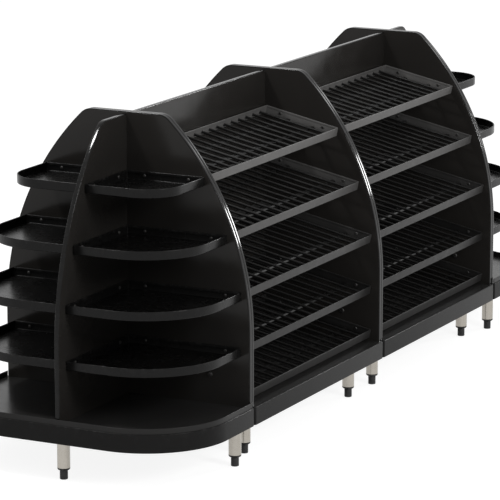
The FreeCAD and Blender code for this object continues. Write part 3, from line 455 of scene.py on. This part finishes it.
def hemmed_section(height):
    """A wall folded up from a floor, with its top edge hemmed over to the inside."""
    bend, hem_end = (BEND, BEND), height - HEM_DEEP
    crest = (HEM, height - HEM)
    section = [(BEND + CREASE, 0.0, 0)]
    section += quarter(bend, BEND, 3, 4, worn=0.2, sense=-1)
    section += [(0.0, BEND + 0.0004, 0), (0.0, height - HEM - CREASE, 0.3)]
    section += quarter(crest, HEM, 2, 4, worn=1.0, sense=-1)
    section += quarter(crest, HEM, 1, 4, worn=0.8, sense=-1)[1:]
    section += [(2 * HEM, hem_end, 0.3), (2 * HEM - CREASE, hem_end - CREASE, 0.2),
                (SHEET, hem_end - CREASE, 0), (SHEET, BEND, 0)]
    section += quarter(bend, BEND - SHEET, 2, 3, worn=0)[1:]
    section += [(BEND + CREASE, SHEET, 0)]
    return section


def quarter_tray(bm, wear, cap, way, side, level):
    low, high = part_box(f"{cap}_trays_{level}")
    reach = max(abs(low.y), abs(high.y))
    far = reach - TRAY_FLATS[level]
    height = high.z - low.z
    path = rounded_plan(BOARD, FACE, reach, reach, (TIGHT, TIGHT, far, TIGHT))
    joint = way * BAY_PITCH

    def lay(x, y, z):
        return joint + way * x, side * y, low.z + z

    rings = sweep(bm, wear, path, hemmed_section(height), lay, True)
    bm.faces.new([ring[0] for ring in rings])
    bm.faces.new([ring[-1] for ring in rings])


def build_trays():
    for cap, way in CAPS.items():
        for level in LEVELS:
            node = f"{cap}_trays_{level}"
            bm, wear = start_mesh()
            for side in SIDES.values():
                quarter_tray(bm, wear, cap, way, side, level)
            finished(f"{node}_pair", bm, "rack", [TRAY_COAT], [node])


# -------------------------------------------- slatted shelves

TILT = math.radians(12)
LIP_DROP = 0.012                  # from the rods' axis down to a shelf wall's lower edge
LIP_RISE = 0.020                  # and up to the top of its hem
ROD = 0.0095
ROD_PITCH = 0.058
ROD_COUNT = 17
BAR_WIDE = 0.012
BAR_INSET = 0.100                 # from a shelf's wall to the middle of a bar
SHELF_SHEET = 0.002
SHELF_EDGE = 0.0006               # the dressed lower edge of a shelf's wall
SHELF_HEM = 0.0016                # radius of the hem along its top
SHELF_HEM_DEEP = 0.0075           # from the wall's top to the end of its hem
SHELF_CORNER = 0.0036             # radius of its corners
DIVIDER_GAP = 0.0005              # between a shelf and the divider
SLAT_WELD = 0.0018                # size of the collars and tacks that hold a rod
INSIDE = BAY_PITCH - 2 * BOARD


def shelf_place(node):
    """Depth of a shelf along its slope, and the transform that lays it on the front side."""
    low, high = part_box(node)
    drop = high.z - low.z
    depth = (drop - (LIP_DROP + LIP_RISE) * math.cos(TILT)) / math.sin(TILT)
    pivot = high.z - LIP_RISE * math.cos(TILT)
    gap = min(abs(low.y), abs(high.y)) if low.y * high.y > 0 else FACE + DIVIDER_GAP
    back = gap + LIP_DROP * math.sin(TILT)
    return depth, Matrix.Translation((0, -back, pivot)) @ Matrix.Rotation(TILT, 4, "X")


def shelf_on_side(bay, side, laid):
    """Moves a shelf made at X = 0 on the front side to its bay and side."""
    low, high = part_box(f"{bay}_divider")
    turn = Matrix.Rotation(math.pi if side == "back" else 0.0, 4, "Z")
    return Matrix.Translation(((low.x + high.x) / 2, 0, 0)) @ turn @ laid


def shelf_wall(bm, wear, depth, matrix):
    """The upright strip round a slatted shelf, with dressed edges and a hem along the top."""
    thick, edge = SHELF_SHEET, SHELF_EDGE
    low, top = -LIP_DROP, LIP_RISE
    crest, hem_end = (SHELF_HEM, top - SHELF_HEM), top - SHELF_HEM_DEEP
    section = [(thick / 2, low, 0.4), (edge, low + 0.0001, 0.6), (0.0, low + edge, 0.4),
               (0.0, top - SHELF_HEM, 0.3)]
    section += quarter(crest, SHELF_HEM, 2, 3, worn=1.0, sense=-1)
    section += quarter(crest, SHELF_HEM, 1, 3, worn=0.8, sense=-1)[1:]
    section += [(2 * SHELF_HEM, hem_end, 0.2), (2 * SHELF_HEM - 0.0004, hem_end - 0.0005, 0.2),
                (thick, hem_end - 0.0005, 0), (thick, low + edge, 0.3),
                (thick - edge / 2, low + 0.0001, 0.5)]
    path = rounded_plan(-INSIDE / 2, -depth, INSIDE / 2, 0.0, (SHELF_CORNER,) * 4, fine=0.0012)
    rings = sweep(bm, wear, path, section, lambda x, y, z: matrix @ Vector((x, y, z)), True)
    close_section(bm, rings, True)


def tree_inputs(tree, names):
    """Gives a tree its named inputs and one output; returns the inputs' sockets by name."""
    tree.interface.new_socket("Geometry", in_out="INPUT", socket_type="NodeSocketGeometry")
    tree.interface.new_socket("Geometry", in_out="OUTPUT", socket_type="NodeSocketGeometry")
    for name, kind in names.items():
        tree.interface.new_socket(name, in_out="INPUT", socket_type=f"NodeSocket{kind}")
    return tree.nodes.new("NodeGroupInput").outputs


def point(tree, x=0.0, y=0.0, z=0.0):
    return add(tree, "ShaderNodeCombineXYZ", {0: x, 1: y, 2: z}).outputs[0]


def moved(tree, shape, x=0.0, y=0.0, z=0.0, turn=(0.0, 0.0, 0.0), scale=(1.0, 1.0, 1.0)):
    item = add(tree, "GeometryNodeTransform", {
        "Geometry": shape, "Translation": point(tree, x, y, z), "Rotation": turn, "Scale": scale})
    return item.outputs["Geometry"]


def joined(tree, *shapes):
    join = tree.nodes.new("GeometryNodeJoinGeometry")
    for shape in shapes:
        tree.links.new(shape, join.inputs[0])
    return join.outputs[0]


def finish_tree(tree, shape, skin):
    """Ends a tree: real meshes, one material, out."""
    real = add(tree, "GeometryNodeRealizeInstances", {"Geometry": shape}).outputs[0]
    coated = add(tree, "GeometryNodeSetMaterial", {"Geometry": real, "Material": skin}).outputs[0]
    tree.links.new(coated, tree.nodes.new("NodeGroupOutput").inputs[0])


def welded_rod(tree, sizes, half_rod, half_depth):
    """One rod along Y, with a weld collar where each end meets the wall."""
    rod = add(tree, "GeometryNodeMeshCylinder", {"Vertices": 16, "Radius": half_rod,
                                                 "Depth": sizes["Depth"]}).outputs["Mesh"]
    flare = maths(tree, "ADD", half_rod, sizes["Weld"])
    collar = add(tree, "GeometryNodeMeshCone", {
        "Vertices": 16, "Radius Top": half_rod, "Radius Bottom": flare,
        "Depth": sizes["Weld"]}).outputs["Mesh"]
    here = moved(tree, collar, z=times(tree, half_depth, -1.0))
    there = moved(tree, collar, z=half_depth, turn=(math.pi, 0.0, 0.0))
    return moved(tree, joined(tree, rod, here, there), turn=(QUARTER_TURN, 0.0, 0.0))


def tack_welds(tree, sizes, half_rod, reach):
    """Beads at both sides of a rod, where it crosses each bar."""
    out, down = 0.62, -0.93       # as shares of half the rod
    tacks = []
    for end in (-1.0, 1.0):
        for side in (-1.0, 1.0):
            bead = add(tree, "GeometryNodeMeshIcoSphere", {
                "Radius": sizes["Weld"], "Subdivisions": 2}).outputs["Mesh"]
            tacks.append(moved(tree, bead, x=times(tree, half_rod, side * out),
                               y=times(tree, reach, end), z=times(tree, half_rod, down),
                               scale=(1.0, 1.5, 0.6)))
    return tacks


def slats_tree():
    """Rods side by side from wall to wall, two flat bars under them, and the welds."""
    tree = bpy.data.node_groups.new("shelf_slats", "GeometryNodeTree")
    sizes = tree_inputs(tree, {"Depth": "Float", "Rod width": "Float", "Rod pitch": "Float",
                               "Rods": "Int", "Bar width": "Float", "Bar height": "Float",
                               "Bar length": "Float", "Bar inset": "Float", "Weld": "Float"})
    half_rod = times(tree, sizes["Rod width"], 0.5)
    half_depth = times(tree, sizes["Depth"], 0.5)
    reach = maths(tree, "SUBTRACT", half_depth, sizes["Bar inset"])
    one = joined(tree, welded_rod(tree, sizes, half_rod, half_depth),
                 *tack_welds(tree, sizes, half_rod, reach))
    steps = maths(tree, "SUBTRACT", sizes["Rods"], 1.0)
    start = times(tree, times(tree, steps, sizes["Rod pitch"]), -0.5)
    row = add(tree, "GeometryNodeMeshLine", {"Count": sizes["Rods"],
                                             "Start Location": point(tree, start),
                                             "Offset": point(tree, sizes["Rod pitch"])})
    slats = add(tree, "GeometryNodeInstanceOnPoints", {"Points": row.outputs[0], "Instance": one})
    bar = add(tree, "GeometryNodeMeshCube", {"Size": point(
        tree, sizes["Bar length"], sizes["Bar width"], sizes["Bar height"])}).outputs["Mesh"]
    low = maths(tree, "SUBTRACT", times(tree, half_rod, -1.0),
                times(tree, sizes["Bar height"], 0.5))
    bars = [moved(tree, bar, y=times(tree, reach, end), z=low) for end in (-1.0, 1.0)]
    smooth = add(tree, "GeometryNodeSetShadeSmooth", {
        "Geometry": joined(tree, slats.outputs[0], *bars)}).outputs[0]
    finish_tree(tree, smooth, ROD_COAT)
    return tree


def grown(tree, values, seed_mesh=None):
    """The plain mesh that a tree gives with these inputs, and nothing left of its modifier."""
    holder = bpy.data.objects.new("grown", seed_mesh or bpy.data.meshes.new("seed"))
    bpy.context.scene.collection.objects.link(holder)
    modifier = holder.modifiers.new("grow", "NODES")
    modifier.node_group = tree
    for item in tree.interface.items_tree:
        if item.in_out == "INPUT" and item.name in values:
            modifier[item.identifier] = values[item.name]
    bpy.context.view_layer.update()
    shaped = holder.evaluated_get(bpy.context.evaluated_depsgraph_get())
    mesh = bpy.data.meshes.new_from_object(shaped)
    holder.modifiers.clear()
    bpy.data.objects.remove(holder)
    return mesh


def merged(name, meshes):
    """Several meshes as one."""
    bm = bmesh.new()
    for mesh in meshes:
        bm.from_mesh(mesh)
    whole = bpy.data.meshes.new(name)
    bm.to_mesh(whole)
    bm.free()
    return whole


def build_shelves():
    tree = slats_tree()
    flat = {}
    places = [(f"{bay}_{side}_shelf_{level}", level, [(bay, side)]) for bay in BAYS
              for side in SIDES for level in LEVELS]
    places.append(("bay_slatted_decks", DECK_LEVEL,
                   [(bay, side) for bay in BAYS for side in SIDES]))
    for node, level, spots in places:
        depth, laid = shelf_place(node)
        key = round(depth, 4)
        if key not in flat:
            flat[key] = grown(tree, {
                "Depth": depth - 2 * SHELF_SHEET, "Rod width": ROD, "Rod pitch": ROD_PITCH,
                "Rods": ROD_COUNT, "Bar width": BAR_WIDE, "Bar height": LIP_DROP - ROD / 2,
                "Bar length": INSIDE - 2 * SHELF_SHEET, "Bar inset": BAR_INSET - SHELF_SHEET,
                "Weld": SLAT_WELD})
        bm, wear = start_mesh()
        slats = []
        for bay, side in spots:
            matrix = shelf_on_side(bay, side, laid)
            shelf_wall(bm, wear, depth, matrix)
            copy = flat[key].copy()
            copy.transform(matrix @ Matrix.Translation((0, -depth / 2, 0)))
            slats.append(copy)
        # each level's wall takes its painted-light copy of the coat: lighter higher up, darker
        # lower down
        finished(f"{node}_wall", bm, "rack", [SHELF_PAINTED_LIGHT_COATS[level]],
                 [node], sharp=40)
        dressed(f"{node}_slats", merged(f"{node}_slats", slats), "rack",
                [ROD_COAT], [node], sharp=40)


# -------------------------------------------- base pans and skirts

SKIRT_SHEET = 0.004
SKIRT_CORNER = 0.300              # radius round a cap
SKIRT_END = 0.009                 # radius of the bend beside a joint
SKIRT_RETURN = 0.030              # the flat that goes inward after that bend
SKIRT_ROUND = 0.003
SKIRT_EDGE = 0.0008               # its dressed lower edge


def skirt_section(low, high):
    """Folded skirt sheet: a soft top edge that catches the light, a dressed lower edge."""
    crest, nick = (SKIRT_ROUND, high - SKIRT_ROUND), 0.0003
    section = [(SKIRT_SHEET / 2, low, 0.5), (SKIRT_EDGE, low, 0.8), (0.0, low + SKIRT_EDGE, 0.6)]
    section += [(0.0, low + 0.004, 0.0), (0.0, high - SKIRT_ROUND - 0.001, 0.2)]
    section += quarter(crest, SKIRT_ROUND, 2, 6, worn=0.9, sense=-1)
    section += [(SKIRT_SHEET - nick, high, 0.2), (SKIRT_SHEET, high - nick, 0.0),
                (SKIRT_SHEET, low + nick, 0.0)]
    return section


def skirt_bend(x, half, start):
    """The tight bend of a skirt into its return, from `start` on for a quarter turn."""
    return turn_points((x, SKIRT_END - half), SKIRT_END, start, start + QUARTER_TURN, 8)


def cap_skirt_path(half, start, nose):
    """Round a cap from one joint return to the other; X runs outward from the joint."""
    kept = half - SKIRT_END - SKIRT_RETURN
    path = [(start, -kept, -1.0, 0.0)] + skirt_bend(start + SKIRT_END, half, math.pi)
    path += turn_points((nose - SKIRT_CORNER, SKIRT_CORNER - half), SKIRT_CORNER,
                        -QUARTER_TURN, 0.0, 40)
    path += [(x, -y, nx, -ny) for x, y, nx, ny in reversed(path)]
    return path


def bay_skirt_path(half, start, stop):
    """Along the front of a bay from return to return."""
    kept = half - SKIRT_END - SKIRT_RETURN
    path = [(start, -kept, -1.0, 0.0)] + skirt_bend(start + SKIRT_END, half, math.pi)
    path += skirt_bend(stop - SKIRT_END, half, 3 * QUARTER_TURN)
    path.append((stop, -kept, 1.0, 0.0))
    return path


def build_skirts():
    for cap, way in CAPS.items():
        node = f"{cap}_skirt"
        low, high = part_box(node)
        joint = way * BAY_PITCH
        start, nose = sorted(abs(x) - BAY_PITCH for x in (low.x, high.x))
        bm, wear = start_mesh()
        rings = sweep(bm, wear, cap_skirt_path(high.y, start, nose), skirt_section(low.z, high.z),
                      lambda x, y, z: (joint + way * x, y, z), False)
        close_section(bm, rings, False)
        finished(f"{node}_sheet", bm, "rack", [SKIRT_COAT], [node])
    low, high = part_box("bay_skirts")
    gap = BAY_PITCH - high.x
    bm, wear = start_mesh()
    for joint in JOINTS[:2]:
        start, stop = joint + gap, joint + BAY_PITCH - gap
        for side in SIDES.values():
            rings = sweep(bm, wear, bay_skirt_path(high.y, start, stop),
                          skirt_section(low.z, high.z), lambda x, y, z: (x, -side * y, z), False)
            close_section(bm, rings, False)
    finished("bay_skirts_sheet", bm, "rack", [SKIRT_COAT], ["bay_skirts"])


def coat_pans():
    """The pans' own shapes are right as they stand; they take the coat."""
    for node in ("near_cap_base_pan", "far_cap_base_pan", "bay_base_pans"):
        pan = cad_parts[node]
        pan.data.materials.clear()
        pan.data.materials.append(PAN_COAT)


# -------------------------------------------- legs and feet

TUBE = 0.04445 / 2                # radius of a leg tube
TUBE_WALL = 0.0016
PLATE = 0.005                     # thickness of the plate on top of a leg
PLATE_SIDE = TUBE + 0.014         # its reach from the leg's axis to either side
PLATE_OUT = TUBE + 0.0015         # outward
PLATE_IN = TUBE + 0.024           # and inward
STEM = 0.008                      # radius of a foot's stem over its thread
FOOT_HIGH = 0.033                 # from the sole to where the stem begins
FOOT_HALF = 0.014                 # radius of a foot
THREAD = 0.002                    # pitch of the stem's thread
THREAD_DEEP = 0.0009
PLUG_ROUND = 0.75                 # share of a plug's rim that is rounded
TUBE_EDGE = 0.0004                # the tube's broken edges
PLATE_CORNER = 0.004
PLATE_EDGE = 0.0006


def spun(bm, wear, centre, outline, around):
    """A turned shape from its outline of (radius, height, wear), closed where it meets the axis."""
    rings = []
    for radius, height, worn in outline:
        if radius < 1e-7:
            vert = bm.verts.new((centre[0], centre[1], height))
            vert[wear] = worn
            rings.append([vert] * around)
            continue
        ring = []
        for i in range(around):
            angle = 2 * math.pi * i / around
            vert = bm.verts.new((centre[0] + radius * math.cos(angle),
                                 centre[1] + radius * math.sin(angle), height))
            vert[wear] = worn
            ring.append(vert)
        rings.append(ring)
    stitched(bm, rings)


def leg_centres():
    """Where each leg stands, and the way its plate's short side faces."""
    spots = {}
    for leg in LEGS:
        low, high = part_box(f"{leg}_foot")
        x, y = (low.x + high.x) / 2, (low.y + high.y) / 2
        if abs(y) < FOOT_HALF:    # under a fin, on the rack's centre line
            turn = math.copysign(QUARTER_TURN, x)
        else:
            turn = 0.0 if y < 0 else math.pi
        spots[leg] = (x, y, turn)
    return spots


def leg_tube(bm, wear, x, y, turn, low, top):
    """A drawn tube with broken edges, welded under a plate with rounded corners."""
    seat = top - PLATE
    bore = TUBE - TUBE_WALL
    edge = TUBE_EDGE
    weld = [(TUBE, seat - 0.004, 0), (TUBE + 0.0012, seat - 0.0016, 0), (TUBE + 0.0038, seat, 0)]
    outline = [(bore, seat, 0), (bore, low + edge, 0), (bore + edge, low, 0.3),
               (TUBE - edge, low, 0.5), (TUBE, low + edge, 0.8), (TUBE, low + 0.002, 0.2)]
    spun(bm, wear, (x, y), outline + weld, 40)
    path = rounded_plan(-PLATE_SIDE, -PLATE_OUT, PLATE_SIDE, PLATE_IN, (PLATE_CORNER,) * 4,
                        fine=0.0015)
    edge = PLATE_EDGE
    section = [(edge, 0.0, 0.3), (0.0, edge, 0.5), (0.0, PLATE - edge, 0.3), (edge, PLATE, 0.2)]
    spin = Matrix.Translation((x, y, seat)) @ Matrix.Rotation(turn, 4, "Z")
    rings = sweep(bm, wear, path, section, lambda a, b, c: spin @ Vector((a, b, c)), True)
    bm.faces.new([ring[0] for ring in rings])
    bm.faces.new([ring[-1] for ring in rings])


def plug(bm, wear, x, y, low, tube_low, top):
    """The nylon plug: a rounded rim under the tube, a plain spigot that pushes into it, and a bore.
    """
    bore, inner = STEM + 0.0002, TUBE - TUBE_WALL - 0.0001
    rounding, edge = (tube_low - low) * PLUG_ROUND, 0.001
    outline = [(bore, top, 0), (bore, low + edge, 0), (bore + edge, low, 0.2),
               (TUBE - rounding, low, 0.3)]
    outline += quarter((TUBE - rounding, low + rounding), rounding, 3, 5, worn=0.7)[1:]
    outline += [(TUBE, tube_low, 0.2), (inner, tube_low, 0), (inner, top - edge, 0),
                (inner - edge, top, 0), (bore, top, 0)]
    spun(bm, wear, (x, y), outline, 40)


def threaded_stem(bm, wear, x, y, low, high):
    """A rolled thread round a stem: its ridge climbs one pitch in each turn."""
    around, rows = 20, round((high - low) / (THREAD / 4))
    rings = []
    for row in range(rows + 1):
        z = low + (high - low) * row / rows
        ring = []
        for i in range(around):
            angle = 2 * math.pi * i / around
            depth = abs(2 * ((z / THREAD - i / around) % 1.0) - 1)    # 0 on the ridge, 1 between
            radius = STEM - THREAD_DEEP * depth
            vert = bm.verts.new((x + radius * math.cos(angle), y + radius * math.sin(angle), z))
            vert[wear] = 0.5 * (1 - depth)
            ring.append(vert)
        rings.append(ring)
    stitched(bm, rings)
    bm.faces.new(rings[0][::-1])
    bm.faces.new(rings[-1])


def foot_outline(low, top):
    """The turned foot from its hollowed sole, round its worn edge, up to the stem."""
    half = FOOT_HALF
    return [(0.0, low + 0.0008, 0), (half * 0.55, low + 0.0008, 0), (half * 0.6, low, 0.3),
            (half - 0.0022, low, 0.6), (half - 0.0006, low + 0.0006, 1.0),
            (half, low + 0.0022, 0.8), (half, low + 0.006, 0.1), (half, top - 0.0016, 0.1),
            (half - 0.0005, top - 0.0005, 0.5), (half - 0.0016, top, 0.3),
            (STEM * 0.85, top, 0), (0.0, top, 0)]


def build_legs():
    spots = leg_centres()
    low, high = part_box("leg_tubes")
    rim, plug_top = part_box("leg_inserts")
    tubes, tube_wear = start_mesh()
    plugs, plug_wear = start_mesh()
    for leg, (x, y, turn) in spots.items():
        leg_tube(tubes, tube_wear, x, y, turn, low.z, high.z)
        plug(plugs, plug_wear, x, y, rim.z, low.z, plug_top.z)
        foot, stem_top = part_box(f"{leg}_foot")
        bm, wear = start_mesh()
        top = foot.z + FOOT_HIGH
        spun(bm, wear, (x, y), foot_outline(foot.z, top), 36)
        threaded_stem(bm, wear, x, y, top - 0.0005, stem_top.z)
        finished(f"{leg}_levelling_foot", bm, f"{leg}_leveller", [NYLON],
                 [f"{leg}_foot"], sharp=45)
    finished("leg_tubes_set", tubes, "rack", [TUBE_METAL], ["leg_tubes"])
    finished("leg_plugs_set", plugs, "rack", [PLUG_NYLON], ["leg_inserts"])
    return spots


# -------------------------------------------- fasteners

SCREW_HEAD = 0.012
SCREW_HEAD_HIGH = 0.0033
BOLT_HEAD = 0.020
BOLT_HEAD_HIGH = 0.004
BOLT_LOW_SIDE = 0.330             # the lower pair of joint bolts from the rack's middle plane
BOLT_HIGH_SIDE = 0.150            # and the upper pair
LEG_BOLT_HEAD = 0.013
LEG_BOLT_HIGH = 0.005
LEG_BOLT_SIDE = 0.0055            # leg bolts beyond the tube at either side
LEG_BOLT_IN = 0.013               # inner leg bolts beyond the tube
LEG_BOLT_OUT = 0.014              # outer leg bolts from the tube's axis
SCREW_INSET = 0.062               # from the end of a shelf or tray to its screw
LIP_HEIGHT = LIP_DROP + LIP_RISE


def button_head():
    """A domed screw head, 1 wide and 1 high, with a six-sided socket; it sits at Z = 0."""
    bm = bmesh.new()
    sides = 12
    outline = [(0.5, 0.0), (0.5, 0.45), (0.43, 0.78), (0.30, 0.96), (0.25, 1.0)]
    rings = []
    for radius, height in outline:
        rings.append([bm.verts.new((radius * math.cos(2 * math.pi * i / sides),
                                    radius * math.sin(2 * math.pi * i / sides), height))
                      for i in range(sides)])
    stitched(bm, rings)
    socket = [[bm.verts.new((0.2 * math.cos(math.pi * i / 3), 0.2 * math.sin(math.pi * i / 3), z))
               for i in range(6)] for z in (1.0, 0.35)]
    for i in range(6):
        j = (i + 1) % 6
        bm.faces.new((rings[-1][2 * i], rings[-1][2 * i + 1], rings[-1][(2 * i + 2) % sides],
                      socket[0][j], socket[0][i]))
        bm.faces.new((socket[0][i], socket[0][j], socket[1][j], socket[1][i]))
    bm.faces.new(socket[1])
    bm.faces.new(rings[0][::-1])
    bmesh.ops.recalc_face_normals(bm, faces=bm.faces)
    return master("button_head", bm)


def hex_head():
    """A six-sided bolt head, 1 high, with a chamfered crown; it sits at Z = 0."""
    bm = bmesh.new()
    rows = []
    for radius, height in ((0.52, 0.0), (0.52, 0.78), (0.44, 1.0)):
        rows.append([bm.verts.new((radius * math.cos(math.pi * i / 3),
                                   radius * math.sin(math.pi * i / 3), height)) for i in range(6)])
    stitched(bm, rows)
    bm.faces.new(rows[0][::-1])
    bm.faces.new(rows[-1])
    return master("hex_head", bm)


def master(name, bm):
    mesh = bpy.data.meshes.new(name)
    bm.to_mesh(mesh)
    bm.free()
    return bpy.data.objects.new(name, mesh)


def heads_tree():
    """A head of one size on each given point, aimed along that point's own direction."""
    tree = bpy.data.node_groups.new("fastener_heads", "GeometryNodeTree")
    sizes = tree_inputs(tree, {"Head": "Object", "Width": "Float", "Height": "Float"})
    head = add(tree, "GeometryNodeObjectInfo", {"Object": sizes["Head"]}).outputs["Geometry"]
    scale = point(tree, sizes["Width"], sizes["Width"], sizes["Height"])
    aim = add(tree, "GeometryNodeInputNamedAttribute", {"Name": "aim"},
              data_type="FLOAT_VECTOR").outputs[0]
    turn = add(tree, "FunctionNodeAlignRotationToVector", {"Vector": aim}, axis="Z").outputs[0]
    heads = add(tree, "GeometryNodeInstanceOnPoints", {
        "Points": sizes["Geometry"], "Instance": head, "Rotation": turn, "Scale": scale})
    finish_tree(tree, heads.outputs[0], SCREW_STEEL)
    return tree


def aimed_points(places):
    """Points that carry the way each head faces."""
    mesh = bpy.data.meshes.new("places")
    mesh.from_pydata([spot for spot, _ in places], [], [])
    aims = mesh.attributes.new("aim", "FLOAT_VECTOR", "POINT")
    for i, (_, way) in enumerate(places):
        aims.data[i].vector = way
    return mesh


def shelf_screw_places():
    """Heads inside the end walls of every slatted shelf and deck."""
    places = []
    nodes = [f"bay_a_front_shelf_{level}" for level in LEVELS] + ["bay_slatted_decks"]
    for node in nodes:
        depth, laid = shelf_place(node)
        for run in (SCREW_INSET, depth - SCREW_INSET):
            for end in (-1, 1):
                spot = Vector((end * (INSIDE / 2 - SHELF_SHEET), -run, LIP_HEIGHT / 2 - LIP_DROP))
                for bay in BAYS:
                    for side in SIDES:
                        matrix = shelf_on_side(bay, side, laid)
                        way = matrix.to_3x3() @ Vector((-end, 0, 0))
                        places.append((matrix @ spot, way))
    return places


def tray_screw_places():
    """Heads inside the trays' walls, along the cap panels and the fins."""
    places = []
    for cap, way in CAPS.items():
        joint = way * BAY_PITCH
        for level in LEVELS:
            low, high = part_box(f"{cap}_trays_{level}")
            up = (low.z + high.z) / 2
            for out in (BOARD + SCREW_INSET, high.y - SCREW_INSET):
                for side in SIDES.values():
                    places.append(((joint + way * (BOARD + SHEET), side * out, up), (way, 0, 0)))
                    places.append(((joint + way * out, side * (FACE + SHEET), up), (0, side, 0)))
    return places


def joint_bolt_places():
    """Heads on both faces of every pair of panels."""
    places = []
    low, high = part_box("joint_bolts")
    rows = ((BOLT_LOW_SIDE, low.z + BOLT_HEAD / 2), (BOLT_HIGH_SIDE, high.z - BOLT_HEAD / 2))
    for joint in JOINTS:
        for across, up in rows:
            for side in SIDES.values():
                for way in (-1, 1):
                    places.append(((joint + way * BOARD, side * across, up), (way, 0, 0)))
    return places


def leg_bolt_places(spots):
    """Bolt heads under the corners of each leg's plate."""
    places = []
    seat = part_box("leg_tubes")[1].z - PLATE
    for x, y, turn in spots.values():
        spin = Matrix.Translation((x, y, seat)) @ Matrix.Rotation(turn, 4, "Z")
        for side in (-1, 1):
            for run in (TUBE + LEG_BOLT_IN, -LEG_BOLT_OUT):
                places.append((spin @ Vector((side * (TUBE + LEG_BOLT_SIDE), run, 0)), (0, 0, -1)))
    return places


def build_fasteners(spots):
    tree = heads_tree()
    button, hexagon = button_head(), hex_head()
    sets = (("shelf_screws", shelf_screw_places() + tray_screw_places(), button, SCREW_HEAD,
             SCREW_HEAD_HIGH),
            ("joint_bolts", joint_bolt_places(), button, BOLT_HEAD, BOLT_HEAD_HIGH),
            ("leg_bolts", leg_bolt_places(spots), hexagon, LEG_BOLT_HEAD, LEG_BOLT_HIGH))
    for node, places, head, width, height in sets:
        heads = grown(tree, {"Head": head, "Width": width, "Height": height}, aimed_points(places))
        dressed(f"{node}_heads", heads, "rack", [SCREW_STEEL], [node])
    for head in (button, hexagon):
        bpy.data.objects.remove(head)


# -------------------------------------------- stage, lamps and camera

def white_for_lookers(tree, shown, lit):
    """White for the camera and for what gloss and glass show, the lit material otherwise."""
    path = add(tree, "ShaderNodeLightPath").outputs
    seen = maths(tree, "MAXIMUM", path["Is Camera Ray"], path["Is Glossy Ray"])
    seen = maths(tree, "MAXIMUM", seen, path["Is Transmission Ray"])
    return add(tree, "ShaderNodeMixShader", {0: seen, 1: lit, 2: shown}).outputs[0]


FLOOR_HALF = 14.0
FLOOR_LIT = 0.8                   # the floor's own tone, for light that bounces off it
FLOOR_SHADE = 0.3                 # the share of the seen floor that takes shadows
FLOOR_GLOW = 0.885                # the share that doesn't
SKY_LIT = 0.56                    # the sky's strength as a light
SKY_SEEN = 1.0                    # and as a background
# name, place, target, width and height, watts
LAMPS = (("overhead", (-2.16, 1.41, 3.88), (-1.31, 0.0, 1.14), (0.4, 0.4), 56),
         ("front_panel", (-2.4, -5.1, 3.15), (-0.6, -0.3, 0.9), (1.4, 1.6), 120),
         ("end_panel", (5.64, -3.54, 1.90), (-0.5, -0.42, 0.82), (0.6, 1.15), 95),
         ("end_high", (5.6, -1.8, 3.5), (0.0, -0.48, 0.2), (1.0, 0.7), 9))


def build_floor():
    size = FLOOR_HALF
    mesh = bpy.data.meshes.new("floor")
    mesh.from_pydata([(-size, -size, 0), (size, -size, 0), (size, size, 0), (-size, size, 0)],
                     [], [(0, 1, 2, 3)])
    floor = bpy.data.objects.new("floor", mesh)
    bpy.context.scene.collection.objects.link(floor)
    pale = bpy.data.materials.new("pale_floor")
    pale.use_nodes = True
    tree = pale.node_tree
    matt = tree.nodes["Principled BSDF"]
    matt.inputs["Base Color"].default_value = grey(FLOOR_LIT)
    matt.inputs["Roughness"].default_value = 0.9
    matt.inputs["Specular IOR Level"].default_value = 0.1
    shade = add(tree, "ShaderNodeBsdfDiffuse", {"Color": grey(FLOOR_SHADE)}).outputs[0]
    glow = add(tree, "ShaderNodeEmission", {"Color": grey(1.0), "Strength": FLOOR_GLOW}).outputs[0]
    both = add(tree, "ShaderNodeAddShader", {0: shade, 1: glow}).outputs[0]
    seen = white_for_lookers(tree, both, matt.outputs[0])
    feed(tree, tree.nodes["Material Output"].inputs["Surface"], seen)
    mesh.materials.append(pale)


def build_sky():
    world = bpy.data.worlds.new("studio")
    bpy.context.scene.world = world
    world.use_nodes = True
    tree = world.node_tree
    soft, white = [add(tree, "ShaderNodeBackground", {"Color": grey(1.0), "Strength": strength})
                   .outputs[0] for strength in (SKY_LIT, SKY_SEEN)]
    feed(tree, tree.nodes["World Output"].inputs["Surface"], white_for_lookers(tree, white, soft))


def build_lamps():
    for name, place, target, size, power in LAMPS:
        lamp = bpy.data.lights.new(name, "AREA")
        lamp.shape = "RECTANGLE"
        lamp.size, lamp.size_y = size
        lamp.energy = power
        item = bpy.data.objects.new(name, lamp)
        item.location = place
        way = Vector(target) - Vector(place)
        item.rotation_euler = way.to_track_quat("-Z", "Y").to_euler()
        bpy.context.scene.collection.objects.link(item)


VIEW_PLACE = (-10.7080, -5.3518, 3.1117)
VIEW_YAW = math.radians(26.825)   # from the rack's length towards its back
VIEW_TILT = math.radians(12.313)  # downwards
LENS = 233.54                     # focal length in millimetres
SENSOR = 36.0                     # its width in millimetres
VIEW_END = 100.0


def build_camera():
    view = bpy.data.cameras.new("camera")
    view.sensor_width = SENSOR
    view.lens = LENS
    view.clip_end = VIEW_END
    camera = bpy.data.objects.new("camera", view)
    camera.location = VIEW_PLACE
    level = math.cos(VIEW_TILT)
    way = Vector((math.cos(VIEW_YAW) * level, math.sin(VIEW_YAW) * level, -math.sin(VIEW_TILT)))
    camera.rotation_euler = way.to_track_quat("-Z", "Y").to_euler()
    bpy.context.scene.collection.objects.link(camera)
    bpy.context.scene.camera = camera
    bpy.context.scene.view_settings.view_transform = "Standard"


build_camera()
build_boards()
build_trays()
build_shelves()
build_skirts()
coat_pans()
build_fasteners(build_legs())
build_floor()
build_sky()
build_lamps()

bpy.context.view_layer.update()
